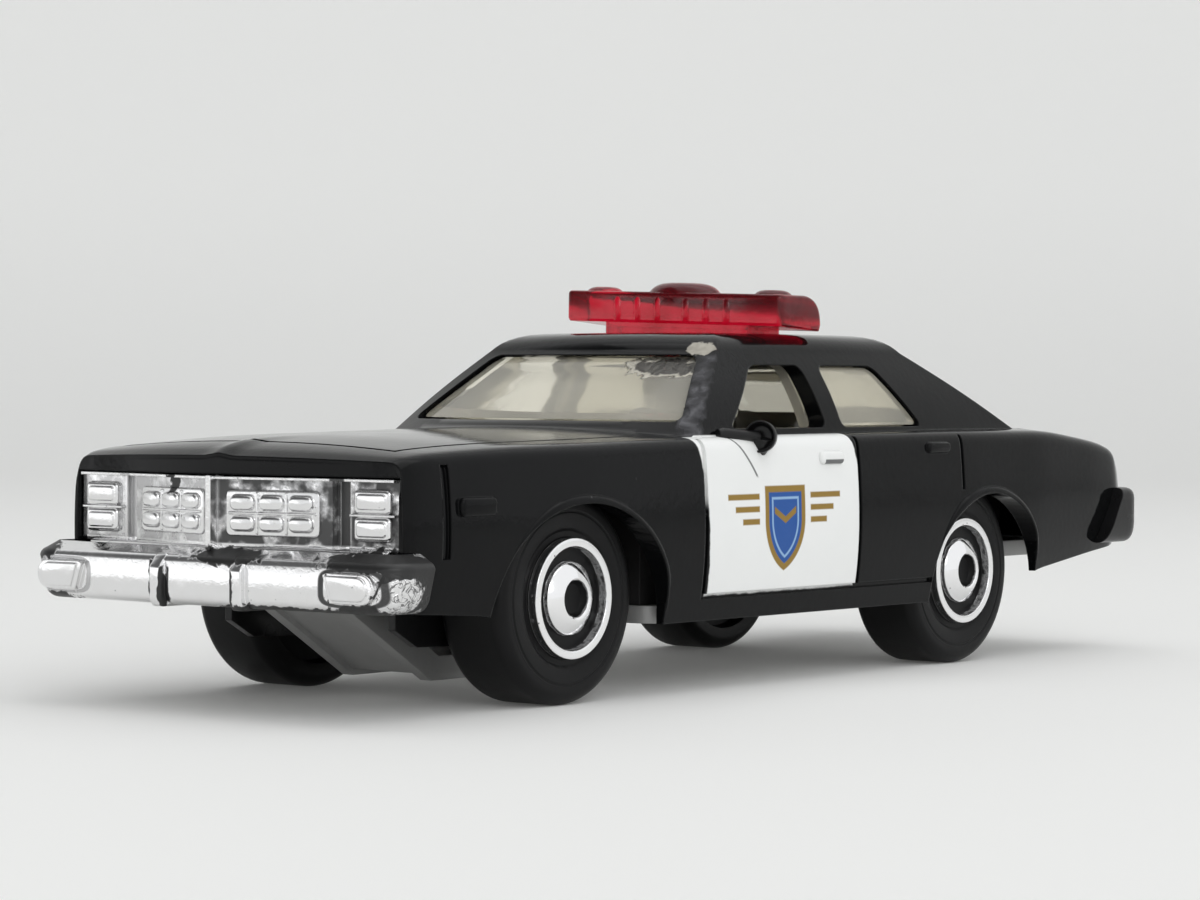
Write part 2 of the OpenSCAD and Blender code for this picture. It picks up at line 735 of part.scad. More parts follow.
// Stacked pair of rectangular lamps in a bezel
module lamp_pair() {
    w = trim_half_w - lamp_in - 0.1;
    low = bumper_top_z + 0.6;
    h = grille_top_z - low;
    rim = 0.28;
    lens_h = (h - 3 * rim) / 2;
    translate([trim_back_x, lamp_in, low])
        cube([lamp_x - trim_back_x - 0.35, w, h]);
    translate([lamp_x - 0.4, lamp_in, low])
        frame(w, h, 0.4, rim);
    translate([lamp_x - 0.4, lamp_in, low + h / 2 - rim / 2])
        cube([0.35, w, rim]);
    for (i = [0, 1])
        translate([lamp_x - 0.4, lamp_in + rim + 0.18, low + rim + i * (lens_h + rim) + 0.12])
            cube([0.28, w - 2 * rim - 0.36, lens_h - 0.24]);
}

// One half of the grille: nested frames round two rows of three raised blocks, swept back from the middle
module grille_half() {
    low = bumper_top_z + 0.45;
    h = grille_top_z - low;
    sweep = atan2(grille_x - lamp_x - 0.25, grille_half_w);
    w = grille_half_w / cos(sweep);
    rim = 0.26;
    block_w = (w - 6 * rim - 0.3) / 3;
    block_h = (h - 6.5 * rim) / 2;
    translate([grille_x, 0, low])
        rotate([0, 0, sweep]) {
            translate([-1.2, 0, 0])
                cube([0.9, w, h]);
            translate([-0.4, 0.18, 0])
                frame(w - 0.18, h, 0.4, rim);
            translate([-0.4, 0.18 + 1.7 * rim, 1.7 * rim])
                frame(w - 0.18 - 3.4 * rim, h - 3.4 * rim, 0.28, rim * 0.8);
            for (i = [0:2], j = [0, 1])
                translate([-0.4, 0.3 + 3 * rim + i * block_w, 3 * rim + j * (block_h + 0.5 * rim)])
                    cube([0.24, block_w - 0.35, block_h]);
        }
}

module front_trim() {
    color([0.85, 0.85, 0.86]) {
        for (side = [0, 1])
            mirror([0, side, 0]) {
                lamp_pair();
                grille_half();
                guard_y = 2.95;
                translate([nose_x, guard_y - 0.5, bumper_low_z - 0.1])
                    cube([half_l - nose_x, 1, bumper_top_z - bumper_low_z + 0.05]);
                translate([nose_x + 1.5, grille_half_w + 1.4, bumper_low_z + 0.65])
                    cube([half_l - nose_x - 1.7, 2.4, 1.25]);
            }
        translate([trim_back_x, -trim_half_w, nose_plate_z + plate_t])
            cube([nose_x - 0.4 - trim_back_x, 2 * trim_half_w, bumper_top_z + 0.7 - nose_plate_z - plate_t]);
        translate([trim_back_x, -lamp_in - 0.1, bumper_top_z])
            cube([nose_x - 0.6 - trim_back_x, 2 * lamp_in + 0.2, grille_top_z - bumper_top_z]);
        intersection() {
            translate([0, 0, bumper_low_z])
                linear_extrude(bumper_top_z - bumper_low_z)
                    bumper_plan();
            translate([nose_x - 5, 0, 0])
                rotate([90, 0, 90])
                    linear_extrude(20)
                        polygon([[bumper_rake - bumper_half_w, bumper_low_z],
                            [bumper_half_w - bumper_rake, bumper_low_z], [bumper_half_w, bumper_top_z - 0.4],
                            [bumper_half_w - 0.2, bumper_top_z], [0.2 - bumper_half_w, bumper_top_z],
                            [-bumper_half_w, bumper_top_z - 0.4]]);
        }
        translate([nose_x - 0.6, -grille_half_w, bumper_top_z - 0.1])
            cube([2, 2 * grille_half_w, 0.7]);
    }
}

// Plan of the rear bumper, from the outer face in by a thickness, with ends that reach forward by a run
module rear_plan(run, thick) {
    w = half_w + 0.15;
    corner = 1.8;
    outer = [for (a = [90:-15:0]) [-half_l + corner - corner * cos(a), w - corner + corner * sin(a)]];
    inner = [for (a = [0:15:90]) [-half_l + corner - (corner - thick) * cos(a),
        w - corner + (corner - thick) * sin(a)]];
    for (side = [0, 1])
        mirror([0, side, 0])
            polygon(concat([[-half_l + run, w]], outer, [[-half_l, 0], [-half_l + thick, 0]], inner,
                [[-half_l + run, w - thick]]));
}

module rear_bumper() {
    low = sill_z + 2.9;
    face_t = 0.7;
    color([0.07, 0.07, 0.075]) {
        translate([0, 0, low])
            linear_extrude(3.7)
                rear_plan(2.2, face_t);
        translate([0, 0, low])
            linear_extrude(1.1)
                rear_plan(4.4, face_t);
        translate([-half_l + face_t / 2, -tail_plug_w, tail_plate_z + plate_t])
            cube([tail_plug_x + half_l - face_t / 2, 2 * tail_plug_w, tail_plug_z - tail_plate_z - plate_t]);
    }
}

// Axle wire with a raised ring near each end that a wheel clicks over
module axle(x) {
    end_y = track_half - 0.5;
    ring_y = track_half - 1.5;
    color([0.7, 0.71, 0.73])
        translate([x, 0, axle_z])
            rotate([-90, 0, 0])
                rotate_extrude()
                    polygon([[0, -end_y], [axle_r - 0.15, -end_y], [axle_r, -end_y + 0.2],
                        [axle_r, -ring_y - 0.2], [axle_r + 0.12, -ring_y], [axle_r, -ring_y + 0.2],
                        [axle_r, ring_y - 0.2], [axle_r + 0.12, ring_y], [axle_r, ring_y + 0.2],
                        [axle_r, end_y - 0.2], [axle_r - 0.15, end_y], [0, end_y]]);
}

// Half-section of a wheel: radius, then distance out from the tyre's inner face
function wheel_half() = let (
    bore = axle_r + axle_gap,
    click = tyre_w - 1.5,
    out = tyre_w,
    shoulder = 0.7)
    concat(
        [[0, out - 0.4], [bore, out - 0.4], [bore, click + 0.25], [bore + 0.13, click], [bore, click - 0.25],
            [bore, -0.25], [1.5, -0.25], [1.7, 0.9], [tyre_r - 1.5, 0.9], [tyre_r - 1.3, 0.1]],
        [for (a = [-90:15:0]) [tyre_r - shoulder + shoulder * cos(a), shoulder + shoulder * sin(a)]],
        [for (a = [0:15:90]) [tyre_r - shoulder + shoulder * cos(a), out - shoulder + shoulder * sin(a)]],
        [[ring_r + 0.5, out - 0.1], [ring_r + 0.3, out - 0.25], [ring_r, out - 0.25], [ring_r, out + 0.35],
            [ring_r - 0.12, out + 0.45], [ring_r - ring_w + 0.12, out + 0.45], [ring_r - ring_w, out + 0.35],
            [ring_r - ring_w - 0.05, out - 0.15], [hub_r + 0.05, out - 0.15], [hub_r, out + 0.2],
            [dish_r + 0.15, out + 0.6], [dish_r, out + 0.55], [dish_r - 0.1, out + 0.1], [0, out + 0.1]]);

module wheel(x, side) {
    color([0.06, 0.06, 0.06])
        translate([x, side * tyre_in, axle_z])
            rotate([-90 * side, 0, 0])
                rotate_extrude($fn = 96)
                    polygon(wheel_half());
}

body_shell();
base_plate();
interior();
glazing();
light_bar();
front_trim();
rear_bumper();
axle(front_x);  // front_axle
axle(rear_x);  // rear_axle
wheel(front_x, 1);  // wheel_front_left
wheel(front_x, -1);  // wheel_front_right
wheel(rear_x, 1);  // wheel_rear_left
wheel(rear_x, -1);  // wheel_rear_right
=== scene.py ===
"""Looks of a die-cast toy police sedan: paint, plating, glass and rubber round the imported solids.

Lengths are millimetres in the part's own frame (+X to the nose, +Y to the left, +Z up) until a mesh is
finished, when it is scaled to Blender's metres.
"""

import logging
import math
from collections.abc import Callable, Iterable, Sequence
from dataclasses import dataclass, field
from enum import Enum
from functools import reduce

import bmesh
import bpy
from bmesh.types import BMesh, BMVert
from mathutils import Matrix, Vector


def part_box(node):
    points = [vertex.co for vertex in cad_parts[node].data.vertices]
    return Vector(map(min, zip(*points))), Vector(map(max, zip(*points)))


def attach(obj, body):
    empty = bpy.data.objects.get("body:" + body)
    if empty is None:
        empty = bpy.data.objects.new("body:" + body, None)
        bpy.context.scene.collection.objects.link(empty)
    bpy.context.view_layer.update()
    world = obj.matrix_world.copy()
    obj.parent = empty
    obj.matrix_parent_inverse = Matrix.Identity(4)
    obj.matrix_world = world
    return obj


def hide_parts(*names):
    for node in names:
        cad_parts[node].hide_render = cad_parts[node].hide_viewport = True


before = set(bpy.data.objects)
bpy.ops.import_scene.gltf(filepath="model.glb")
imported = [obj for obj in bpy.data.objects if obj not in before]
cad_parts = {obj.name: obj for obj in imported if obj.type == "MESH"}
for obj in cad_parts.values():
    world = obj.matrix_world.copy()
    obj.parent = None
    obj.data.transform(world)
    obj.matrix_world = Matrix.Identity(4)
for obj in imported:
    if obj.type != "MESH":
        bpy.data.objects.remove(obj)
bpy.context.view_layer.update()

LOG = logging.getLogger("police_sedan")
MM = 0.001
CAR = "car"
UP = (0, 0, 1)
PEG_X = -4.9
PEG_Y = 2.2

Pair = tuple[float, float]
Place = tuple[float, float, float]
Spot = tuple[Place, Place]
Step = tuple[float, float, float, float]
Colour = tuple[float, float, float]
Line = Sequence[Pair]


class Slot(Enum):
    """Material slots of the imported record."""

    PAINT = "paint"
    GLAZING = "glazing"
    LAMP_RED = "lamp_red"
    PLATING = "plating"
    BLACK = "bumper_black"
    WHEEL = "wheel_black"


class Cut(Enum):
    """Ways to combine two solids."""

    ADD = "UNION"
    TAKE = "DIFFERENCE"
    KEEP = "INTERSECT"


def mix(a: float, b: float, t: float) -> float:
    """Value at a share t of the way from a to b."""
    return a + (b - a) * t


def clamp(value: float, low: float = 0.0, high: float = 1.0) -> float:
    """Value held between two limits."""
    return min(high, max(low, value))


def rectangle(left: float, low: float, right: float, top: float) -> list[Pair]:
    """Corners of an upright rectangle."""
    return [(left, low), (right, low), (right, top), (left, top)]


def lookup(x: float, line: Line) -> float:
    """Height of a polyline at x.

    Args:
        x: Place along the car.
        line: Pairs of place and value, in rising order of place.
    Returns:
        The value there, held constant past both ends.
    """
    if x <= line[0][0]:
        return line[0][1]
    for (x0, v0), (x1, v1) in zip(line, line[1:]):
        if x <= x1:
            return mix(v0, v1, (x - x0) / (x1 - x0))
    return line[-1][1]


def eased(x: float, line: Line, reach: float) -> float:
    """Polyline value with its corners rounded over a reach to either side.

    Args:
        x: Place along the car.
        line: Pairs of place and value.
        reach: Half of the rounding window, narrowed near the line's ends.
    Returns:
        A raised-cosine average of the line round x.
    """
    reach = min(reach, 0.35 + 0.6 * min(abs(x - line[0][0]), abs(line[-1][0] - x)))
    samples = 12
    total = weight = 0.0
    for i in range(-samples, samples + 1):
        share = 1 + math.cos(math.pi * i / (samples + 1))
        total += share * lookup(x + reach * i / samples, line)
        weight += share
    return total / weight


def curve(a: Pair, b: Pair, c: Pair, steps: int) -> list[Pair]:
    """Points of a quadratic curve, without its first point.

    Args:
        a: Where it starts.
        b: Point that it is pulled towards.
        c: Where it ends.
        steps: Number of points.
    Returns:
        The points, of which c is the last.
    """
    points = []
    for i in range(1, steps + 1):
        t = i / steps
        points.append(tuple(mix(mix(p, q, t), mix(q, r, t), t) for p, q, r in zip(a, b, c)))
    return points


def facing_arc(middle: Pair, r: float, start: float, end: float, steps: int) -> list[Step]:
    """Points of a circular arc, each with the direction that faces out.

    Args:
        middle: Centre of the arc.
        r: Its radius.
        start: First angle in degrees.
        end: Last angle in degrees.
        steps: Segments of the arc.
    Returns:
        Places along it with their directions.
    """
    cx, cy = middle
    path = []
    for i in range(steps + 1):
        a = math.radians(mix(start, end, i / steps))
        path.append((cx + r * math.cos(a), cy + r * math.sin(a), math.cos(a), math.sin(a)))
    return path


def arc(middle: Pair, r: float, start: float, end: float, steps: int) -> list[Pair]:
    """Points of a circular arc between two angles in degrees."""
    return [(x, y) for x, y, _, _ in facing_arc(middle, r, start, end, steps)]


def axes(origin: Sequence[float], across: Sequence[float], up: Sequence[float]) -> Matrix:
    """Matrix of a facing.

    Args:
        origin: Place of the local origin.
        across: Direction of the local X.
        up: Direction of the local Y, square to across.
    Returns:
        The matrix, with the local Z along the facing's normal.
    """
    a = Vector(across).normalized()
    b = Vector(up).normalized()
    matrix = Matrix((a, b, a.cross(b))).transposed().to_4x4()
    matrix.translation = Vector(origin)
    return matrix


FACE_SIDE = axes((0, 0, 0), (1, 0, 0), (0, 0, 1))
FACE_FRONT = axes((0, 0, 0), (0, 1, 0), (0, 0, 1))
FACE_TOP = Matrix.Identity(4)


class Mould:
    """One mesh in the making, in millimetres."""

    def __init__(self) -> None:
        """Start an empty mesh."""
        self.bm: BMesh = bmesh.new()

    def rings(self, rings: Sequence[Sequence[Sequence[float]]]) -> "Mould":
        """Close a skin over rings of equal length by bending a flat grid onto them.

        Args:
            rings: Closed rings of points; the first and last are capped flat.
        Returns:
            This mould.
        """
        count = len(rings[0])
        grid = bmesh.ops.create_grid(self.bm, x_segments=count, y_segments=len(rings) - 1, size=1)
        points = [ring[i % count] for ring in rings for i in range(count + 1)]
        for vert, point in zip(grid["verts"], points):
            vert.co = point
        bmesh.ops.remove_doubles(self.bm, verts=grid["verts"], dist=1e-5)
        rims = [edge for edge in self.bm.edges if edge.is_boundary]
        bmesh.ops.holes_fill(self.bm, edges=rims, sides=0)
        return self

    def wrap(self, path: Sequence[Step], section: Sequence[Pair]) -> list[BMVert]:
        """Carry a section round a path in plan.

        Args:
            path: Places along it, each with the direction that faces out.
            section: Closed outline of pairs of depth behind the face and height.
        Returns:
            The skin's vertices.
        """
        skin = Mould().rings([[(x - nx * d, y - ny * d, z) for d, z in section] for x, y, nx, ny in path])
        return self.take(skin.bm)

    def slab(
        self,
        outline: Sequence[Pair],
        low: float,
        high: float,
        place: Matrix = FACE_TOP,
        corner: float = 0.0,
        edge: float = 0.0,
        back_edge: float = 0.0,
        rim: float = 0.0,
        steps: int = 4,
    ) -> list[BMVert]:
        """Push a flat outline along its normal into a closed slab or frame.

        Args:
            outline: Corners of the outline in the local X and Y.
            low: Local Z of the back face.
            high: Local Z of the front face.
            place: Matrix from the local axes to the part's frame.
            corner: Radius that rounds the outline's corners.
            edge: Radius that rounds the front edges.
            back_edge: Radius that rounds the back edges.
            rim: Width of the frame left round an opening, or 0 for a full slab.
            steps: Segments of each rounding.
        Returns:
            The slab's vertices.
        """
        bm = bmesh.new()
        bm.faces.new([bm.verts.new((x, y, low)) for x, y in outline])
        if corner:
            bmesh.ops.bevel(bm, geom=list(bm.verts), offset=corner, offset_type="OFFSET", affect="VERTICES",
                            segments=steps, profile=0.5, material=-1)
        if rim:
            whole = list(bm.faces)
            bmesh.ops.inset_region(bm, faces=whole, thickness=rim, use_even_offset=True)
            bmesh.ops.delete(bm, geom=[f for f in whole if f.is_valid], context="FACES_ONLY")
        base = list(bm.faces)
        pushed = bmesh.ops.extrude_face_region(bm, geom=base, use_keep_orig=True)
        raised = [item for item in pushed["geom"] if isinstance(item, BMVert)]
        bmesh.ops.translate(bm, verts=raised, vec=(0, 0, high - low))
        bmesh.ops.recalc_face_normals(bm, faces=bm.faces)
        for size, level in ((edge, high), (back_edge, low)):
            if size:
                flat = [f for f in bm.faces if all(abs(v.co.z - level) < 1e-6 for v in f.verts)]
                around = {e for f in flat for e in f.edges if sum(g in flat for g in e.link_faces) == 1}
                bmesh.ops.bevel(bm, geom=list(around), offset=size, offset_type="OFFSET", affect="EDGES",
                                segments=steps, profile=0.5, material=-1, clamp_overlap=True)
        return self.take(bm, place)

    def turn(
        self, profile: Sequence[Pair], centre: Sequence[float], axis: Sequence[float], steps: int = 96
    ) -> list[BMVert]:
        """Spin a half-profile into a closed solid.

        Args:
            profile: Pairs of radius and height along the axis, with both ends at radius 0.
            centre: Point of the axis where the height is 0.
            axis: Direction of the axis.
            steps: Segments round it.
        Returns:
            The solid's vertices.
        """
        bm = bmesh.new()
        verts = [bm.verts.new((r, 0, h)) for r, h in profile]
        edges = [bm.edges.new(ends) for ends in zip(verts, verts[1:])]
        bmesh.ops.spin(bm, geom=verts + edges, cent=(0, 0, 0), axis=(0, 0, 1), angle=math.tau, steps=steps,
                       use_merge=True)
        bmesh.ops.remove_doubles(bm, verts=bm.verts, dist=1e-4)
        bmesh.ops.recalc_face_normals(bm, faces=bm.faces)
        turned = Vector((0, 0, 1)).rotation_difference(Vector(axis)).to_matrix().to_4x4()
        return self.take(bm, Matrix.Translation(Vector(centre)) @ turned)

    def take(self, other: BMesh, place: Matrix = FACE_TOP) -> list[BMVert]:
        """Move another mesh into this one.

        Args:
            other: The mesh, which is freed.
            place: Where it goes.
        Returns:
            Its vertices in this mould.
        """
        bmesh.ops.transform(other, matrix=place, verts=other.verts)
        if place.determinant() < 0:
            bmesh.ops.reverse_faces(other, faces=other.faces)
        loose = bpy.data.meshes.new("loose")
        other.to_mesh(loose)
        other.free()
        before = len(self.bm.verts)
        self.bm.from_mesh(loose)
        bpy.data.meshes.remove(loose)
        self.bm.verts.ensure_lookup_table()
        return list(self.bm.verts)[before:]

    def bend(self, rule: Callable[[Vector], Vector], verts: Iterable[BMVert] | None = None) -> "Mould":
        """Move each vertex by a rule.

        Args:
            rule: Gives a vertex's new place.
            verts: The vertices to move, or all of them.
        Returns:
            This mould.
        """
        for vert in self.bm.verts if verts is None else verts:
            vert.co = rule(vert.co.copy())
        return self

    def mirror(self) -> "Mould":
        """Copy the mesh to the other side of the car.

        Returns:
            This mould.
        """
        copy = self.bm.copy()
        self.take(copy, Matrix.Scale(-1, 4, (0, 1, 0)))
        return self

    def solid(self) -> bpy.types.Object:
        """Turn the mesh into an object in millimetres, for cutting.

        Returns:
            The object. The mould is used up.
        """
        bmesh.ops.recalc_face_normals(self.bm, faces=self.bm.faces)
        mesh = bpy.data.meshes.new("solid")
        self.bm.to_mesh(mesh)
        self.bm.free()
        thing = bpy.data.objects.new("solid", mesh)
        bpy.context.scene.collection.objects.link(thing)
        return thing


def pegs(profile: Sequence[Pair], z: float) -> Mould:
    """Pegs or peg holes of the roof light, one on each side of the car.

    Args:
        profile: Pairs of radius and height of one of them.
        z: Height that the profile starts from.
    Returns:
        A mould of both.
    """
    mould = Mould()
    for side in (-1, 1):
        mould.turn(profile, (PEG_X, side * PEG_Y, z), UP, 32)
    return mould


def combine(target: bpy.types.Object, tool: bpy.types.Object, how: Cut) -> bpy.types.Object:
    """Apply a Boolean to a target and delete the tool.

    Args:
        target: Solid that is changed.
        tool: Solid that is used up.
        how: What the Boolean does.
    Returns:
        The target.
    """
    boolean = target.modifiers.new("combine", "BOOLEAN")
    boolean.operation = how.value
    boolean.solver = "MANIFOLD"
    boolean.object = tool
    shaped = target.evaluated_get(bpy.context.evaluated_depsgraph_get())
    result = bpy.data.meshes.new_from_object(shaped)
    target.modifiers.remove(boolean)
    old = target.data
    target.data = result
    spent = tool.data
    bpy.data.objects.remove(tool)
    for mesh in (old, spent):
        bpy.data.meshes.remove(mesh)
    return target


def finish_piece(
    thing: bpy.types.Object,
    name: str,
    material: bpy.types.Material,
    body: str,
    replaced: Sequence[str] = (),
    sharp: float = 34.0,
) -> bpy.types.Object:
    """Scale a solid to metres, shade it and hang it on its body.

    Args:
        thing: Solid in millimetres.
        name: Name of the finished piece.
        material: Its finish.
        body: Body that it rides on.
        replaced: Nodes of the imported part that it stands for.
        sharp: Angle in degrees above which an edge stays sharp.
    Returns:
        The finished piece.
    """
    mesh = thing.data
    mesh.transform(Matrix.Scale(MM, 4))
    mesh.polygons.foreach_set("use_smooth", [True] * len(mesh.polygons))
    mesh.set_sharp_from_angle(angle=math.radians(sharp))
    mesh.materials.clear()
    mesh.materials.append(material)
    mesh.polygons.foreach_set("material_index", [0] * len(mesh.polygons))
    thing.name = name
    mesh.name = name
    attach(thing, body)
    if replaced:
        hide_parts(*replaced)
    LOG.info("%s: %d faces on %s", name, len(mesh.polygons), body)
    return thing


Value = "Signal | float"


class Signal:
    """A shader socket that Python operators work on."""

    def __init__(self, book: "NodeBook", socket: bpy.types.NodeSocket) -> None:
        """Wrap a socket.

        Args:
            book: Node tree that the socket belongs to.
            socket: The output socket.
        """
        self.book = book
        self.socket = socket

    def _math(self, operation: str, first: Value, second: Value = 0.0) -> "Signal":
        """Add a Math node on two values."""
        return self.book.node("ShaderNodeMath", {"operation": operation}, {0: first, 1: second})

    def __add__(self, other: Value) -> "Signal":
        """Sum."""
        return self._math("ADD", self, other)

    __radd__ = __add__

    def __sub__(self, other: Value) -> "Signal":
        """Difference."""
        return self._math("SUBTRACT", self, other)

    def __rsub__(self, other: Value) -> "Signal":
        """Reflected difference."""
        return self._math("SUBTRACT", other, self)

    def __mul__(self, other: Value) -> "Signal":
        """Product."""
        return self._math("MULTIPLY", self, other)

    __rmul__ = __mul__

    def __truediv__(self, other: Value) -> "Signal":
        """Quotient."""
        return self._math("DIVIDE", self, other)

    def __pow__(self, other: Value) -> "Signal":
        """Power."""
        return self._math("POWER", self, other)

    def __abs__(self) -> "Signal":
        """Size without sign."""
        return self._math("ABSOLUTE", self)

    def least(self, other: Value) -> "Signal":
        """Smaller of two values."""
        return self._math("MINIMUM", self, other)

    def most(self, other: Value) -> "Signal":
        """Larger of two values."""
        return self._math("MAXIMUM", self, other)

    def rise(self, low: float, high: float) -> "Signal":
        """Smooth step between two values.

        Args:
            low: Value where it is 0.
            high: Value where it is 1, which may be the lower of the two.
        Returns:
            The step.
        """
        if high < low:
            return 1.0 - self.rise(high, low)
        ends = {1: low, 2: high, 3: 0.0, 4: 1.0}
        return self.book.node("ShaderNodeMapRange", {"interpolation_type": "SMOOTHSTEP"}, {0: self, **ends})


class NodeBook:
    """A material's node tree, with object coordinates in millimetres at hand."""

    def __init__(self, name: str) -> None:
        """Start a material.

        Args:
            name: The material's name.
        """
        self.material = bpy.data.materials.new(name)
        self.material.use_nodes = True
        self.tree = self.material.node_tree
        self.shader = self.tree.nodes["Principled BSDF"]
        place = self.node("ShaderNodeTexCoord", out="Object")
        self.at = self.vector("SCALE", {0: place, "Scale": 1 / MM})
        self.x, self.y, self.z = (self.node("ShaderNodeSeparateXYZ", {}, {0: self.at}, a) for a in "XYZ")

    def node(
        self, kind: str, settings: dict | None = None, inputs: dict | None = None, out: int | str = 0
    ) -> Signal:
        """Add any node.

        Args:
            kind: The node's type.
            settings: Attributes that are set first.
            inputs: Values or signals by socket name or number.
            out: Output that is returned.
        Returns:
            The output as a signal.
        """
        node = self.tree.nodes.new(kind)
        for key, value in (settings or {}).items():
            setattr(node, key, value)
        for key, value in (inputs or {}).items():
            self.feed(node.inputs[key], value)
        return Signal(self, node.outputs[out])

    def vector(self, operation: str, inputs: dict, out: str = "Vector") -> Signal:
        """Add a Vector Math node."""
        return self.node("ShaderNodeVectorMath", {"operation": operation}, inputs, out)

    def feed(self, socket: bpy.types.NodeSocket, value: "Signal | float | Sequence[float]") -> None:
        """Link a signal to a socket, or set a constant on it.

        Args:
            socket: Input socket.
            value: Signal, number, vector or colour.
        """
        if isinstance(value, Signal):
            self.tree.links.new(value.socket, socket)
        elif isinstance(value, (int, float)):
            socket.default_value = value
        elif len(socket.default_value) == 4 and len(value) == 3:
            socket.default_value = (*value, 1.0)
        else:
            socket.default_value = value

    def set(self, **inputs: "Signal | float | Sequence[float]") -> "NodeBook":
        """Feed the shader's sockets.

        Args:
            **inputs: Values by socket name, with underscores for spaces.
        Returns:
            This book.
        """
        for name, value in inputs.items():
            self.feed(self.shader.inputs[name.replace("_", " ")], value)
        return self

    def blend(self, share: Value, a: "Signal | Colour", b: "Signal | Colour") -> Signal:
        """Mix two colours by a share."""
        return self.node("ShaderNodeMix", {"data_type": "RGBA"}, {0: share, 6: a, 7: b}, 2)

    def noise(
        self, scale: float, detail: float = 2.0, stretch: Place | None = None, warp: float = 0.0
    ) -> Signal:
        """Soft noise.

        Args:
            scale: Cells in a millimetre.
            detail: Octaves.
            stretch: Factors on the three axes.
            warp: Distortion.
        Returns:
            A value about 0.5.
        """
        place = self.at
        if stretch:
            place = self.node("ShaderNodeMapping", {"vector_type": "POINT"}, {0: place, "Scale": stretch})
        inputs = {0: place, "Scale": scale, "Detail": detail, "Distortion": warp}
        return self.node("ShaderNodeTexNoise", {}, inputs)

    def specks(self, scale: float, size: float) -> Signal:
        """Small round specks, 1 inside them."""
        cells = self.node("ShaderNodeTexVoronoi", {}, {0: self.at, "Scale": scale}, "Distance")
        return cells.rise(size, 0.6 * size)

    def away(self, centre: Sequence[float], radii: Sequence[float]) -> Signal:
        """Distance from a point.

        Args:
            centre: The point.
            radii: Unit of distance along each axis.
        Returns:
            The distance in those units.
        """
        gap = self.vector("SUBTRACT", {0: self.at, 1: centre})
        gap = self.vector("DIVIDE", {0: gap, 1: radii})
        return self.vector("LENGTH", {0: gap}, "Value")

    def spots(self, spots: Sequence[Spot]) -> Signal:
        """How deep a point lies in the nearest of some spots: 1 in a middle and 0 on an edge."""
        return reduce(Signal.most, (1.0 - self.away(*spot) for spot in spots))

    def bump(
        self, height: Signal, depth: float, strength: float = 1.0, normal: Signal | None = None
    ) -> Signal:
        """Bumped normal from a height.

        Args:
            height: Height from 0 to 1.
            depth: Millimetres that a height of 1 stands for.
            strength: Share of the bump.
            normal: Normal to start from.
        Returns:
            The bumped normal.
        """
        inputs = {"Strength": strength, "Distance": depth * MM, "Height": height}
        if normal:
            inputs["Normal"] = normal
        return self.node("ShaderNodeBump", {}, inputs)

    def soft_edges(self, radius: float) -> Signal:
        """Normal that rounds sharp edges over a radius in millimetres."""
        return self.node("ShaderNodeBevel", {"samples": 4}, {"Radius": radius * MM})


